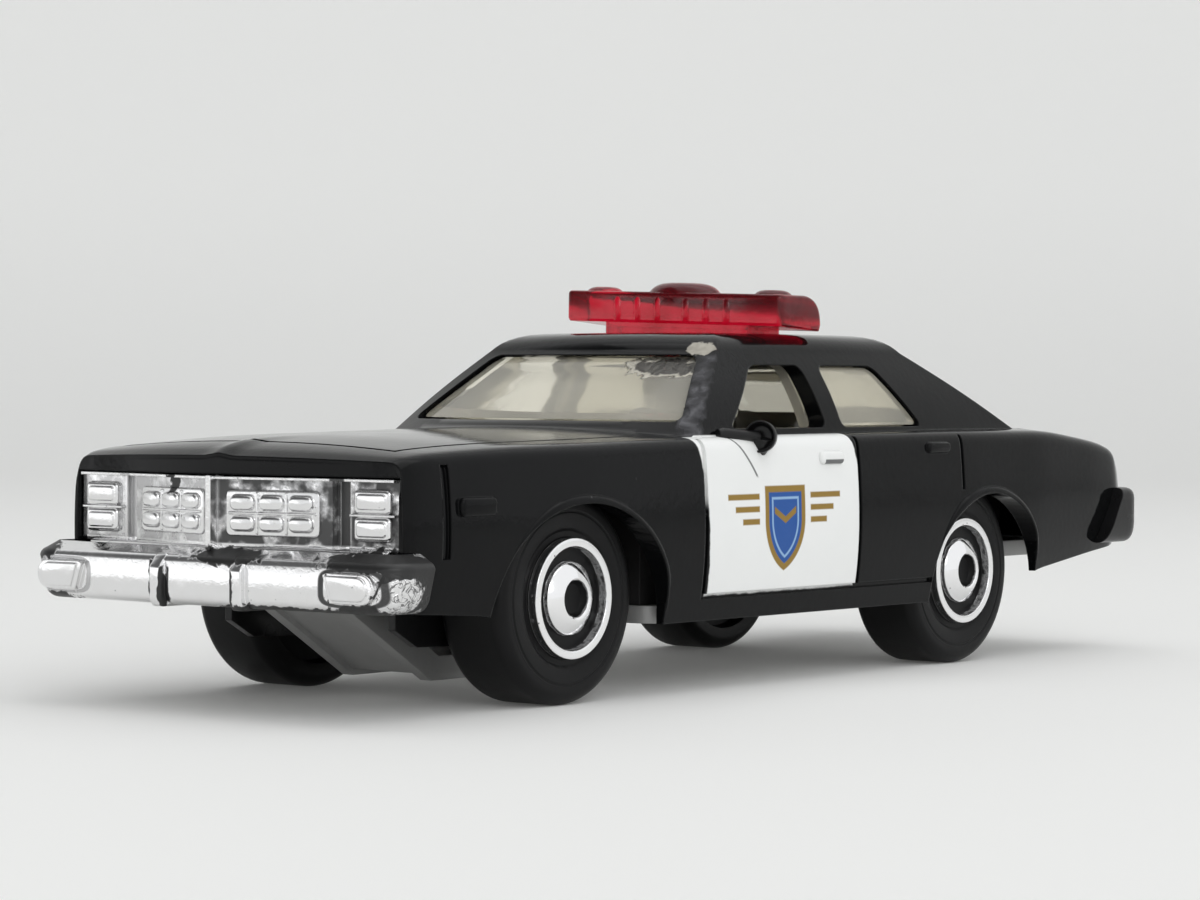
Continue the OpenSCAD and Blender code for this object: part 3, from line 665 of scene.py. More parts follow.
@dataclass(frozen=True)
class DoorPanel:
    """White front doors, printed over the paint, with a plain shield between service bars."""

    back_x: float = -4.75
    front_x: float = 10.2
    hook: float = 1.1
    low_z: float = 5.5
    top_z: float = 14.62
    skin_y: float = 11.95
    wander: float = 0.16
    white: Colour = (0.87, 0.88, 0.87)
    aged: Colour = (0.66, 0.65, 0.61)
    shield_x: float = 2.9
    shield_z: float = 9.3
    shield_half: float = 2.0
    shield_top: float = 2.35
    shield_waist: float = 0.4
    shield_point: float = 2.6
    rim: float = 0.38
    inner_line: Pair = (0.28, 0.42)
    chevron_z: float = 0.35
    chevron_slope: float = 0.55
    chevron_half: float = 0.2
    bar_reach: Sequence[float] = (5.6, 4.9, 4.2)
    bar_top: float = 1.75
    bar_pitch: float = 0.72
    bar_half: float = 0.17
    bar_gap: float = 0.55
    ink_edge: float = 0.05
    gold: Colour = (0.30, 0.19, 0.045)
    blue: Colour = (0.03, 0.10, 0.34)
    pale_blue: Colour = (0.30, 0.48, 0.72)
    shadow: Colour = (0.035, 0.037, 0.04)
    line_x: float = 5.5
    line_low_z: float = 12.1
    grip_x: float = -2.05
    grip_z: float = 12.96

    def cover(self, book: NodeBook) -> Signal:
        """Share of white at a point of the body.

        Args:
            book: The paint's node tree.
        Returns:
            1 on the printed doors, with edges that wander a little.
        """
        wander = (book.noise(1.6) - 0.5) * self.wander
        up = ((book.z - self.low_z) / (self.top_z - self.low_z)).most(0.0)
        front = self.front_x + self.hook * (up ** 3.0) - book.x + wander
        # The back edge curves forward near the belt.
        back = book.x - self.back_x - 0.9 * ((up - 0.72).most(0.0) * 3.0) ** 2.0 + wander
        below = book.z - self.low_z + wander
        above = self.top_z - book.z
        edge = front.least(back).least(below).least(above)
        # Only the outer skin is printed, not the floor of the seams.
        skin = abs(book.y) - self.skin_y + 0.6 * book.z.rise(13.2, 14.0)
        return edge.rise(-0.05, 0.09) * skin.rise(-0.02, 0.02)

    def print_on(self, book: NodeBook, colour: Signal) -> Signal:
        """Lay the shield and its bars over a colour.

        Args:
            book: The paint's node tree.
            colour: Colour of the white door.
        Returns:
            The printed colour.
        """
        across = abs(book.x - self.shield_x)
        up = book.z - self.shield_z
        # Each side falls straight to the waist, then on an arc to the point.
        drop = self.shield_waist + self.shield_point
        radius = (self.shield_half ** 2 + drop ** 2) / (2 * self.shield_half)
        fall = (up - self.shield_waist).least(0.0)
        side = ((across + (radius - self.shield_half)) ** 2.0 + fall * fall) ** 0.5 - radius
        edge = side.most(up - self.shield_top)
        soft = self.ink_edge
        line_out, line_in = (self.rim + inset for inset in self.inner_line)
        inks = ((0.0, self.gold), (self.rim, self.blue), (line_out, self.pale_blue), (line_in, self.blue))
        for inset, ink in inks:
            colour = book.blend((edge + inset).rise(soft, -soft), colour, ink)
        chevron = abs(up - self.chevron_z - self.chevron_slope * across) - self.chevron_half
        inside = (edge + self.rim + 0.55).rise(soft, -soft)
        colour = book.blend(chevron.rise(soft, -soft) * inside, colour, self.gold)
        for k, reach in enumerate(self.bar_reach):
            bar = abs(up - self.bar_top + self.bar_pitch * k) - self.bar_half
            span = (across - reach).most(self.shield_half + self.bar_gap - across)
            mark = bar.most(span).rise(soft, -soft)
            colour = book.blend(mark, colour, self.gold)
        # The painted shadow of the scored line and of the grip under the handle goes over the print.
        return book.blend(self.dark_lines(book), colour, self.shadow)

    def dark_lines(self, book: NodeBook) -> Signal:
        """Shadow in the scored line by the spotlight and in the grip under the handle.

        Args:
            book: The paint's node tree.
        Returns:
            Share of shadow.
        """
        above = (book.z - self.line_low_z).most(0.0)
        path = self.line_x + above * 0.62 + above * above * 0.12
        scored = abs(book.x - path).rise(0.13, 0.05) * book.z.rise(self.line_low_z, self.line_low_z + 0.2)
        grip = abs(book.x - self.grip_x).rise(0.98, 0.9) * abs(book.z - self.grip_z).rise(0.17, 0.1)
        return (scored * 0.8).most(grip * 0.85)


@dataclass(frozen=True)
class BlackPaint:
    """Gloss black enamel on die-cast zinc, with nicks down to the metal."""

    colour: Colour = (0.0028, 0.0030, 0.0033)
    haze: Colour = (0.0048, 0.0050, 0.0054)
    nicked: Colour = (0.07, 0.07, 0.07)
    metal: Colour = (0.13, 0.13, 0.14)
    dull_metal: Colour = (0.014, 0.014, 0.016)
    chip: Colour = (0.60, 0.575, 0.50)
    chip_shade: Colour = (0.30, 0.28, 0.24)
    rough: float = 0.085
    post_foot: Place = (10.0, 11.0, 14.9)
    post_head: Place = (5.2, 8.4, 19.6)
    chip_spots: Sequence[Spot] = (
        ((4.7, 7.6, 19.75), (1.0, 1.2, 0.6)),
        ((5.5, 3.4, 19.9), (0.6, 0.6, 0.45)),
    )
    door: DoorPanel = field(default_factory=DoorPanel)

    def post_wear(self, book: NodeBook) -> Signal:
        """Bare metal along the left windscreen post.

        Args:
            book: The paint's node tree.
        Returns:
            Share of bare metal.
        """
        foot = Vector(self.post_foot)
        run = Vector(self.post_head) - foot
        gap = book.vector("SUBTRACT", {0: book.at, 1: foot})
        along = book.vector("DOT_PRODUCT", {0: gap, 1: run}, "Value")
        share = (along / run.length_squared).most(0.0).least(1.0)
        near = book.vector("SCALE", {0: tuple(run), "Scale": share})
        far = book.vector("DISTANCE", {0: gap, 1: near}, "Value")
        patchy = (book.noise(1.1, 4.0) - 0.5) * 1.5
        return (far - 0.5 + patchy).rise(0.45, -0.2)

    def chips(self, book: NodeBook) -> Signal:
        """Pale filler left where the roof's edge is chipped over the screen.

        Args:
            book: The paint's node tree.
        Returns:
            Share of filler.
        """
        grain = (book.noise(1.3, 4.0, warp=0.6) - 0.5) * 1.3
        return (book.spots(self.chip_spots) + grain).rise(0.0, 0.14)

    def material(self) -> bpy.types.Material:
        """Build the paint.

        Returns:
            The material.
        """
        book = NodeBook("gloss_black_enamel")
        white = self.door.cover(book)
        worn = self.post_wear(book)
        nick = book.specks(0.5, 0.05) * book.noise(0.23, 1.0).rise(0.56, 0.66)
        dust = book.specks(1.7, 0.05) * 0.2
        cloud = book.noise(0.35, 3.0)
        black = book.blend(cloud, self.colour, self.haze)
        black = book.blend((nick + dust).least(1.0), black, self.nicked)
        mottled = book.blend(book.noise(0.8, 4.0, warp=0.8).rise(0.3, 0.75), self.dull_metal, self.metal)
        black = book.blend(worn, black, mottled)
        chipped = self.chips(book)
        filler = book.blend(book.noise(2.4, 4.0), self.chip, self.chip_shade)
        black = book.blend(chipped, black, filler)
        panel = book.blend(book.noise(0.8, 3.0) * 0.07, self.door.white, self.door.aged)
        panel = self.door.print_on(book, panel)
        skin = book.noise(2.2, 2.0)
        relief = skin + nick * -0.6 + worn * book.noise(1.6, 3.0) * 3.0
        relief = relief + chipped * book.noise(2.4, 4.0) * 12.0
        normal = book.bump(relief, 0.012, 0.6, book.soft_edges(0.13))
        rough = self.rough + (cloud - 0.5) * 0.08 + white * 0.14 + worn * 0.22 + chipped * 0.4
        return book.set(
            Base_Color=book.blend(white, black, panel), Roughness=rough, Metallic=worn * 0.35,
            Specular_IOR_Level=0.12, Normal=normal,
        ).material


@dataclass(frozen=True)
class Plating:
    """Vacuum plating on plastic, worn through to black on corners, with painted shade in the recesses of
    grille and lamps.
    """

    trim: "FrontTrim"
    colour: Colour = (0.86, 0.86, 0.87)
    dull: Colour = (0.70, 0.69, 0.66)
    # Black of the bare plastic, also laid on as painted shade in the recesses.
    bare: Colour = (0.012, 0.012, 0.012)
    rough: float = 0.09
    sweep: float = 0.185
    pill_z: float = 7.04
    pill_half: Pair = (1.82, 0.84)
    foil: Spot = ((36.9, 13.1, 6.6), (2.2, 1.7, 1.3))
    worn: Sequence[Spot] = (
        ((38.0, 1.6, 8.45), (1.6, 2.6, 0.55)),
        ((37.0, 11.6, 8.35), (3.4, 3.6, 0.7)),
        ((36.0, 13.2, 7.0), (3.0, 1.5, 1.7)),
        ((37.0, -12.6, 8.3), (2.4, 1.5, 0.75)),
        ((37.5, -12.2, 5.75), (2.5, 2.6, 0.4)),
        ((38.5, 2.5, 6.8), (0.5, 0.3, 1.6)),
        ((38.5, -2.5, 6.2), (0.5, 0.3, 1.5)),
        ((38.5, -3.5, 6.9), (0.5, 0.25, 1.3)),
        ((37.4, 6.0, 5.7), (2.0, 5.5, 0.3)),
        ((36.4, -3.6, 12.2), (0.9, 0.5, 0.8)),
        ((38.1, 9.15, 7.1), (0.6, 0.24, 0.75)),
        ((37.6, 11.3, 5.9), (1.2, 2.2, 0.42)),
        ((35.9, 11.6, 10.6), (0.6, 0.14, 2.2)),
    )
    kept: Sequence[Spot] = (
        ((36.9, 13.1, 6.6), (1.5, 1.3, 0.95)),
        ((38.3, 10.55, 7.04), (0.9, 1.95, 0.9)),
    )

    def wear(self, book: NodeBook) -> Signal:
        """Black plastic that shows through on corners and edges.

        Args:
            book: The plating's node tree.
        Returns:
            Share of bare plastic.
        """
        grain = (book.noise(1.5, 5.0, warp=0.6) - 0.5) * 1.5
        edge = book.spots(self.worn)
        for spot in self.kept:
            edge = edge.least((book.away(*spot) - 1.0) * 1.6)
        return (edge + grain).rise(-0.02, 0.14)

    def recess_shade(self, book: NodeBook) -> Signal:
        """Painted shade in the recesses of the grille and lamps, made fuller on the left half as a painted
        dark reflection.

        Args:
            book: The plating's node tree.
        Returns:
            Share of painted shade.
        """
        # Painted shade on the floors of the grille and of the lamps, in the gap between them, and in a moat
        # round each park lamp.
        trim, across, half = self.trim, abs(book.y), self.trim.grille_half_w
        grille = (trim.grille_x - across * self.sweep - book.x).rise(0.3, 0.4)
        grille = grille * across.rise(half + 0.05, half - 0.1)
        lamp = (trim.lamp_x - book.x).rise(0.26, 0.34) * across.rise(half + 0.9, half + 1.1)
        gap = across.rise(half, half + 0.1) * across.rise(half + 1.02, half + 0.9)
        patchy = book.noise(0.9, 3.0).rise(0.3, 0.55)
        left = book.y.rise(0.0, 0.4)
        share = (grille.most(lamp) * patchy).most(gap) * (left * 0.6 + 0.32)
        pill = abs((across - trim.park_y) / self.pill_half[0]) ** 4.0
        pill = pill + abs((book.z - self.pill_z) / self.pill_half[1]) ** 4.0
        moat = pill.rise(0.95, 1.15) * pill.rise(2.4, 1.9) * book.x.rise(36.9, 37.2) * (left * 0.55 + 0.4)
        return (share * book.z.rise(8.95, 9.1)).most(moat)

    def material(self) -> bpy.types.Material:
        """Build the plating.

        Returns:
            The material.
        """
        book = NodeBook("worn_bright_plating")
        worn = self.wear(book)
        pits = book.specks(2.1, 0.09) * book.noise(0.5, 1.0).rise(0.46, 0.6)
        haze = book.noise(0.9, 4.0)
        crinkle = book.noise(2.6, 4.0, warp=1.2)
        foil = 1.0 - book.away(*self.foil).rise(0.6, 1.1)
        veins = abs(book.noise(1.7, 3.0, warp=0.9) - 0.5).rise(0.035, 0.012) * foil * 0.8
        # The black is worn-through plastic, pits and foil veins, together with painted shade in the recesses.
        dark = worn.most(pits).most(self.recess_shade(book)).most(veins)
        bright = book.blend(haze * 0.35, self.colour, self.dull)
        normal = book.bump(crinkle * (0.25 + foil * 5.0) + dark * -0.6, 0.05, 0.55, book.soft_edges(0.07))
        return book.set(
            Base_Color=book.blend(dark, bright, self.bare), Metallic=1.0 - dark,
            Roughness=self.rough + haze.rise(0.45, 0.8) * 0.14 + dark * 0.28, Normal=normal,
        ).material


@dataclass(frozen=True)
class TintedGlass:
    """Clear moulding with a warm tint, scuffed at the driver's upper corner of the screen."""

    colour: Colour = (0.96, 0.925, 0.80)
    scuff: Colour = (0.16, 0.155, 0.145)
    pale: Colour = (0.80, 0.77, 0.68)
    torn: Spot = ((6.1, 6.1, 18.7), (1.7, 2.9, 0.95))

    def material(self) -> bpy.types.Material:
        """Build the glass.

        Returns:
            The material.
        """
        book = NodeBook("warm_tinted_glazing")
        flow = book.noise(0.16, 2.0)
        grain = (book.noise(0.9, 5.0, warp=0.8) - 0.5) * 1.3
        depth = book.spots([self.torn]) + grain
        patch = depth.rise(0.0, 0.1)
        rim = patch * depth.rise(0.34, 0.2)
        crinkle = book.noise(1.5, 4.0, warp=1.5)
        normal = book.bump(flow * 1.2 + patch * crinkle * 3.0, 0.12, 0.5)
        torn = book.blend(rim, self.scuff, self.pale)
        return book.set(
            Base_Color=book.blend(patch, self.colour, torn), Transmission_Weight=0.78, IOR=1.3,
            Metallic=patch * 0.55, Normal=normal,
            Roughness=0.06 + patch * 0.4 + book.noise(0.7, 3.0).rise(0.5, 0.8) * 0.08,
        ).material


@dataclass(frozen=True)
class RedPlastic:
    """Red see-through plastic of the roof light."""

    colour: Colour = (0.74, 0.007, 0.034)
    deep: Colour = (0.52, 0.003, 0.016)

    def material(self) -> bpy.types.Material:
        """Build the plastic.

        Returns:
            The material.
        """
        book = NodeBook("red_lamp_plastic")
        cloud = book.noise(0.55, 3.0)
        tone = book.blend(cloud.rise(0.35, 0.75), self.colour, self.deep)
        normal = book.bump(book.noise(1.3, 3.0), 0.05, 0.5)
        return book.set(
            Base_Color=tone, Transmission_Weight=0.9, IOR=1.42, Roughness=0.1 + cloud * 0.1, Normal=normal,
        ).material


@dataclass(frozen=True)
class Moulded:
    """Plain moulded or cast surface with a fine grain."""

    name: str
    colour: Colour
    shade: Colour
    rough: float = 0.4
    metallic: float = 0.0
    grain: float = 3.0
    depth: float = 0.012
    specular: float = 0.3

    def material(self) -> bpy.types.Material:
        """Build the surface.

        Returns:
            The material.
        """
        book = NodeBook(self.name)
        cloud = book.noise(0.4, 4.0)
        scuff = book.noise(0.7, 5.0, stretch=(0.25, 1.0, 1.0)).rise(0.58, 0.7) * 0.35
        tone = book.blend(cloud, self.colour, self.shade)
        normal = book.bump(book.noise(self.grain, 3.0), self.depth, 0.7, book.soft_edges(0.1))
        return book.set(
            Base_Color=tone, Metallic=self.metallic, Specular_IOR_Level=self.specular, Normal=normal,
            Roughness=self.rough + (cloud - 0.5) * 0.14 - scuff * 0.2,
        ).material


@dataclass(frozen=True)
class WheelFinish:
    """Black wheel plastic with bright stamped rings, for one wheel's middle."""

    name: str
    centre: Place
    bands: Sequence[Pair]
    foil: Colour = (0.92, 0.92, 0.925)
    black: Colour = (0.0035, 0.0035, 0.0037)
    worn_black: Colour = (0.0075, 0.0075, 0.008)
    lift_y: float = 11.2
    ink_edge: float = 0.025

    def material(self) -> bpy.types.Material:
        """Build the wheel's finish.

        Returns:
            The material.
        """
        book = NodeBook(self.name)
        dx = book.x - self.centre[0]
        dz = book.z - self.centre[2]
        radius = (dx * dx + dz * dz) ** 0.5
        wander = (book.noise(2.2, 3.0) - 0.5) * 0.09
        soft = self.ink_edge
        stamp = reduce(Signal.most, (
            (radius - low + wander).rise(-soft, soft) * (radius - high + wander).rise(soft, -soft)
            for low, high in self.bands))
        stamp = stamp * (abs(book.y) - self.lift_y).rise(0.0, 0.04)
        missing = book.specks(1.5, 0.1) * book.noise(0.6, 1.0).rise(0.5, 0.62)
        stamp = stamp * (1.0 - missing)
        cloud = book.noise(0.7, 4.0)
        rubber = book.blend(cloud, self.black, self.worn_black)
        normal = book.bump(book.noise(2.6, 3.0), 0.012, 0.6, book.soft_edges(0.06))
        return book.set(
            Base_Color=book.blend(stamp, rubber, self.foil), Metallic=stamp,
            Roughness=0.42 + (cloud - 0.5) * 0.14 - stamp * 0.3, Specular_IOR_Level=0.16, Normal=normal,
        ).material


@dataclass
class BodyForm:
    """The body's outlines, as the cast shell and its glass share them."""

    half_l: float = 38.6
    half_w: float = 12.7
    nose_setback: float = 2.9
    tail_setback: float = 1.25
    belt_rise: float = 0.3
    wall: float = 1.0
    sill_z: float = 4.1
    crease_z: float = 14.4
    cowl_z: float = 15.0
    roof_z: float = 20.6
    rail_z: float = 19.5
    rail_w: float = 8.6
    belt_w: float = 11.3
    nose_bow: float = 1.4
    tail_bow: float = 0.5
    bow_run: float = 12.0
    lean_low: float = 0.55
    lean_high: float = 0.35
    shoulder: float = 0.75
    screen_foot_x: float = 13.0
    screen_top_x: float = 5.2
    back_foot_x: float = -26.4
    back_top_x: float = -16.6
    screen_bow: Pair = (3.0, 1.0)
    side_bow: float = 0.25
    back_bow: float = 0.9
    back_narrow: float = 0.8
    roof_edge: float = 13.0
    header_ridge: float = 0.16
    header_lean: float = 0.17
    header_run: float = 2.5
    header_drop: float = 2.4
    ridge_half: float = 1.1
    ridge_x: Pair = (30.0, 34.0)
    ridge_depth: float = 2.0
    width_ease: float = 1.5
    sill_ease: float = 1.6
    crease_ease: float = 3.0
    deck_ease: float = 2.5
    stations: int = 150
    crowding: float = 0.48
    side_steps: int = 14
    deck_steps: int = 22
    foot_steps: int = 12
    cap_cuts: int = 11
    plan_steps: tuple[int, int, int] = (14, 32, 20)
    wall_rings: int = 18
    roof_rings: int = 17

    def __post_init__(self) -> None:
        """Work out the ends and the outlines along the car."""
        self.nose_x = self.half_l - self.nose_setback
        self.tail_x = self.tail_setback - self.half_l
        self.belt_z = self.crease_z + self.belt_rise
        nose, tail, w, cowl, crease, sill = (
            self.nose_x, self.tail_x, self.half_w, self.cowl_z, self.crease_z, self.sill_z)
        self.width_line = [
            (tail, w - 1.2), (tail + 1, w - 0.75), (tail + 4, w - 0.5), (-26, w - 0.15), (-18, w), (21, w),
            (30, w - 0.15), (nose - 2, w - 0.25), (nose - 0.5, w - 0.4), (nose, w - 0.6)]
        self.deck_line = [
            (tail, cowl - 2.0), (tail + 0.7, cowl - 1.35), (tail + 2.5, cowl - 0.95), (-31, cowl - 0.35),
            (self.back_foot_x, cowl + 0.25), (self.screen_foot_x, cowl), (30, cowl - 0.3),
            (nose - 2, cowl - 0.65), (nose - 0.6, cowl - 1.0), (nose, cowl - 1.4)]
        self.crease_line = [
            (tail, crease - 1.7), (tail + 0.7, crease - 1.1), (tail + 3, crease - 0.6), (-28, crease + 0.1),
            (-16, crease + 0.2), (0, crease + 0.1), (12, crease), (20, crease - 0.2), (27, crease - 0.3),
            (nose - 2.5, crease - 0.55), (nose - 0.6, crease - 0.75), (nose, crease - 1.0)]
        self.sill_line = [
            (tail, sill + 2.75), (-33.5, sill + 2.4), (-26, sill + 1.5), (-22, sill), (14, sill), (24, sill),
            (29, sill + 1.2), (nose, sill + 1.6)]

    def width_at(self, x: float) -> float:
        """Half-width of the body at a station."""
        return eased(x, self.width_line, self.width_ease)

    def sill_at(self, x: float) -> float:
        """Height of the sill at a station."""
        return eased(x, self.sill_line, self.sill_ease)

    def crease_at(self, x: float) -> float:
        """Height of the crease at a station."""
        return eased(x, self.crease_line, self.crease_ease)

    def lean(self, t: float) -> float:
        """How far the side leans in at a share of its height."""
        return self.lean_low * (1 - 2 * t) ** 2 if t < 0.5 else self.lean_high * (2 * t - 1) ** 2

    def half_outline(self, x: float, inset: float, drop: float) -> list[Pair]:
        """Cross-section from the sill up to the middle of the deck.

        Args:
            x: Station along the car.
            inset: Distance inside the skin.
            drop: How far the lower edge is lowered.
        Returns:
            Pairs of Y and Z, with a rounded shoulder.
        """
        w = self.width_at(x) - inset
        low = self.sill_at(x) - drop
        crease = self.crease_at(x) - inset
        deck = eased(x, self.deck_line, self.deck_ease) - inset
        top_w = w - self.lean_high

        def side(t: float) -> Pair:
            """Point of the side at a share of its height."""
            return w - self.lean(t), mix(low, crease, t)

        def roof(a: float) -> Pair:
            """Point of the deck at a share of the way to the middle."""
            return top_w * (1 - a), mix(crease, deck, 1 - (1 - a) ** 2)

        turn_t = 1 - self.shoulder / (crease - low)
        turn_a = self.shoulder / top_w
        flank = [side(turn_t * i / self.side_steps) for i in range(self.side_steps + 1)]
        round_off = curve(flank[-1], (top_w, crease), roof(turn_a), 5)
        lid = [roof(mix(turn_a, 1.0, i / self.deck_steps)) for i in range(1, self.deck_steps + 1)]
        return flank + round_off + lid

    def bow(self, x: float, y: float, w: float) -> float:
        """How far a point is carried past its station where nose and tail bow out in plan.

        Args:
            x: Station of the point.
            y: Its distance from the middle.
            w: Half-width of the body there.
        Returns:
            The distance along the car.
        """
        share = 1 - (y / w) ** 2
        if x > 0:
            return share * self.nose_bow * max(0.0, (x - self.nose_x + self.bow_run) / self.bow_run) ** 2
        return -share * self.tail_bow * max(0.0, (self.tail_x + self.bow_run - x) / self.bow_run) ** 2

    def loft(self, inset: float = 0.0, drop: float = 0.0, front: float | None = None,
             back: float | None = None) -> Mould:
        """Closed skin of the lower body.

        Args:
            inset: Distance inside the outer skin.
            drop: How far its lower edge is lowered.
            front: Foremost station, or the nose.
            back: Rearmost station, or the tail.
        Returns:
            A mould of the skin, bowed at nose and tail.
        """
        front = self.nose_x if front is None else front
        back = self.tail_x if back is None else back
        rings = []
        for i in range(self.stations + 1):
            t = i / self.stations
            x = mix(front, back, t - self.crowding * math.sin(math.tau * t) / math.tau)
            half = self.half_outline(x, inset, drop)
            ring = half + [(-y, z) for y, z in half[-2::-1]]
            foot = [mix(-half[0][0], half[0][0], k / self.foot_steps) for k in range(1, self.foot_steps)]
            rings.append([(x, y, z) for y, z in ring] + [(x, y, half[0][1]) for y in foot])
        mould = Mould().rings(rings)
        # The flat caps are cut into strips, so that they can bow.
        for k in range(-self.cap_cuts, self.cap_cuts + 1):
            caps = [f for f in mould.bm.faces if len(f.verts) > 4 or f.calc_area() > 4]
            edges = list({e for f in caps for e in f.edges})
            verts = list({v for f in caps for v in f.verts})
            bmesh.ops.bisect_plane(
                mould.bm, geom=caps + edges + verts, plane_co=(0, k + 0.5, 0), plane_no=(0, 1, 0))

        def carry(p: Vector) -> Vector:
            """Carry a point past its station by the bow, and lift the ridge down the nose."""
            w = self.width_at(p.x) - inset
            start, end = self.ridge_x
            ridge = max(0.0, 1 - abs(p.y) / self.ridge_half) * clamp((p.x - start) / (end - start))
            lift = self.header_ridge * ridge if p.z > self.crease_z - self.ridge_depth else 0.0
            tilt = self.header_lean * clamp((p.x - self.nose_x + self.header_run) / self.header_run)
            lean = tilt * max(0.0, p.z - self.crease_z + self.header_drop)
            return Vector((p.x + self.bow(p.x, clamp(p.y, -w, w), w) - lean, p.y, p.z + lift))

        return mould.bend(carry)

    def flank(self, x: float, z: float) -> float:
        """Half-width of the skin at a place along the car and a height."""
        low, top = self.sill_at(x), self.crease_at(x)
        return self.width_at(x) - self.lean((z - low) / (top - low))

    def slope(self, foot: float, top: float) -> float:
        """Length of a leaning pane for each unit of its height."""
        return math.hypot(1, (foot - top) / (self.rail_z - self.belt_z))

    def glass_plan(self, z: float, inset: float) -> list[Pair]:
        """Plan of the glasshouse at a height.

        Args:
            z: The height.
            inset: Distance inside the skin, square to each pane.
        Returns:
            A closed ring of X and Y.
        """
        t = (z - self.belt_z) / (self.rail_z - self.belt_z)
        front = mix(self.screen_foot_x, self.screen_top_x, t)
        front -= inset * self.slope(self.screen_foot_x, self.screen_top_x)
        back = mix(self.back_foot_x, self.back_top_x, t)
        back += inset * self.slope(self.back_foot_x, self.back_top_x)
        bow = mix(*self.screen_bow, t)
        side = mix(self.belt_w, self.rail_w, t) + self.side_bow * math.sin(math.pi * clamp(t))
        side -= inset * self.slope(self.belt_w, self.rail_w)
        rear = side - self.back_narrow * (1 - 0.5 * t)
        at_back, at_side, at_front = self.plan_steps
        half = [(back + self.back_bow * a * a, rear * a) for a in [i / at_back for i in range(at_back)]]
        half += [(mix(back + self.back_bow, front - bow, a), mix(rear, side, math.sin(math.pi / 2 * a)))
                 for a in [i / at_side for i in range(at_side)]]
        half += [(front - bow * a * a, side * a) for a in [1 - i / at_front for i in range(at_front + 1)]]
        return half + [(x, -y) for x, y in half[-2:0:-1]]

    def glasshouse(self, inset: float, low: float) -> Mould:
        """Closed skin of the glasshouse and roof.

        Args:
            inset: Distance inside the outer skin.
            low: Height of its foot.
        Returns:
            A mould of the skin.
        """
        top = self.rail_z - inset
        rings = []
        for i in range(self.wall_rings + 1):
            z = mix(low, top, i / self.wall_rings)
            rings.append([(x, y, z) for x, y in self.glass_plan(z, inset)])
        # The roof closes over the rail in rings that go from its plan to an ellipse.
        middle = (self.screen_top_x + self.back_top_x) / 2
        half = (self.screen_top_x - self.back_top_x) / 2
        for i in range(1, self.roof_rings):
            r = math.cos(math.pi / 2 * i / self.roof_rings)
            ring = []
            for x, y in self.glass_plan(top, inset):
                angle = math.atan2(y / self.rail_w, (x - middle) / half)
                ring.append((
                    middle + r * mix(half * math.cos(angle), x - middle, r),
                    r * mix(self.rail_w * math.sin(angle), y, r),
                    mix(self.rail_z, self.roof_z, 1 - r ** self.roof_edge) - inset))
            rings.append(ring)
        return Mould().rings(rings)


@dataclass
class Windows:
    """Openings of the glasshouse."""

    form: BodyForm
    round_off: float = 0.55
    low_margin: float = 0.25
    top_margin: float = 0.85
    side_span: Pair = (-14, -6)
    screen_span: Pair = (1, 22)
    back_span: Pair = (-30, -12)

    def __post_init__(self) -> None:
        """Place the panes from the belt and the roof's edge."""
        self.low_z = self.form.belt_z + self.low_margin
        self.top_z = self.form.rail_z - self.top_margin
        self.front_pane = ((-3.6, 6.3), (-3.4, 1.8))
        self.rear_pane = ((-14.4, -5.3), (-11.4, -5.3))

    def pane(self, shape: tuple[Pair, Pair], gap: float) -> list[Pair]:
        """Outline of a side pane.

        Args:
            shape: Back and front end of its foot and of its head.
            gap: How far it is drawn in.
        Returns:
            Its four corners.
        """
        foot, head = shape
        low = self.low_z + gap
        top = self.top_z - gap
        return [(foot[0] + gap, low), (foot[1] - gap, low), (head[1] - gap, top), (head[0] + gap, top)]

    def side_cutter(self, shape: tuple[Pair, Pair], gap: float) -> Mould:
        """Cutter for one pane on both sides of the car.

        Args:
            shape: Back and front end of the pane's foot and head.
            gap: How far it is drawn in.
        Returns:
            A mould of both cutters.
        """
        mould = Mould()
        mould.slab(self.pane(shape, gap), *self.side_span, FACE_SIDE, corner=self.round_off)
        return mould.mirror()

    def screen_cutter(self, front: bool, gap: float) -> Mould:
        """Cutter for the screen or the back window.

        Args:
            front: Whether it is the screen.
            gap: How far it is drawn in.
        Returns:
            A mould of the cutter.
        """
        form = self.form
        if front:
            low, top = form.cowl_z + 0.35 + gap, form.rail_z - 0.3 - gap
            foot, head = form.belt_w - 1.15 - gap, form.rail_w - 0.9 - gap
            span = self.screen_span
        else:
            low, top = form.cowl_z + 1 + gap, form.rail_z - 0.7 - gap
            foot, head = form.belt_w - 2.4 - gap, form.rail_w - 1.5 - gap
            span = self.back_span
        mould = Mould()
        mould.slab([(-foot, low), (foot, low), (head, top), (-head, top)], *span, FACE_FRONT,
                   corner=self.round_off)
        return mould


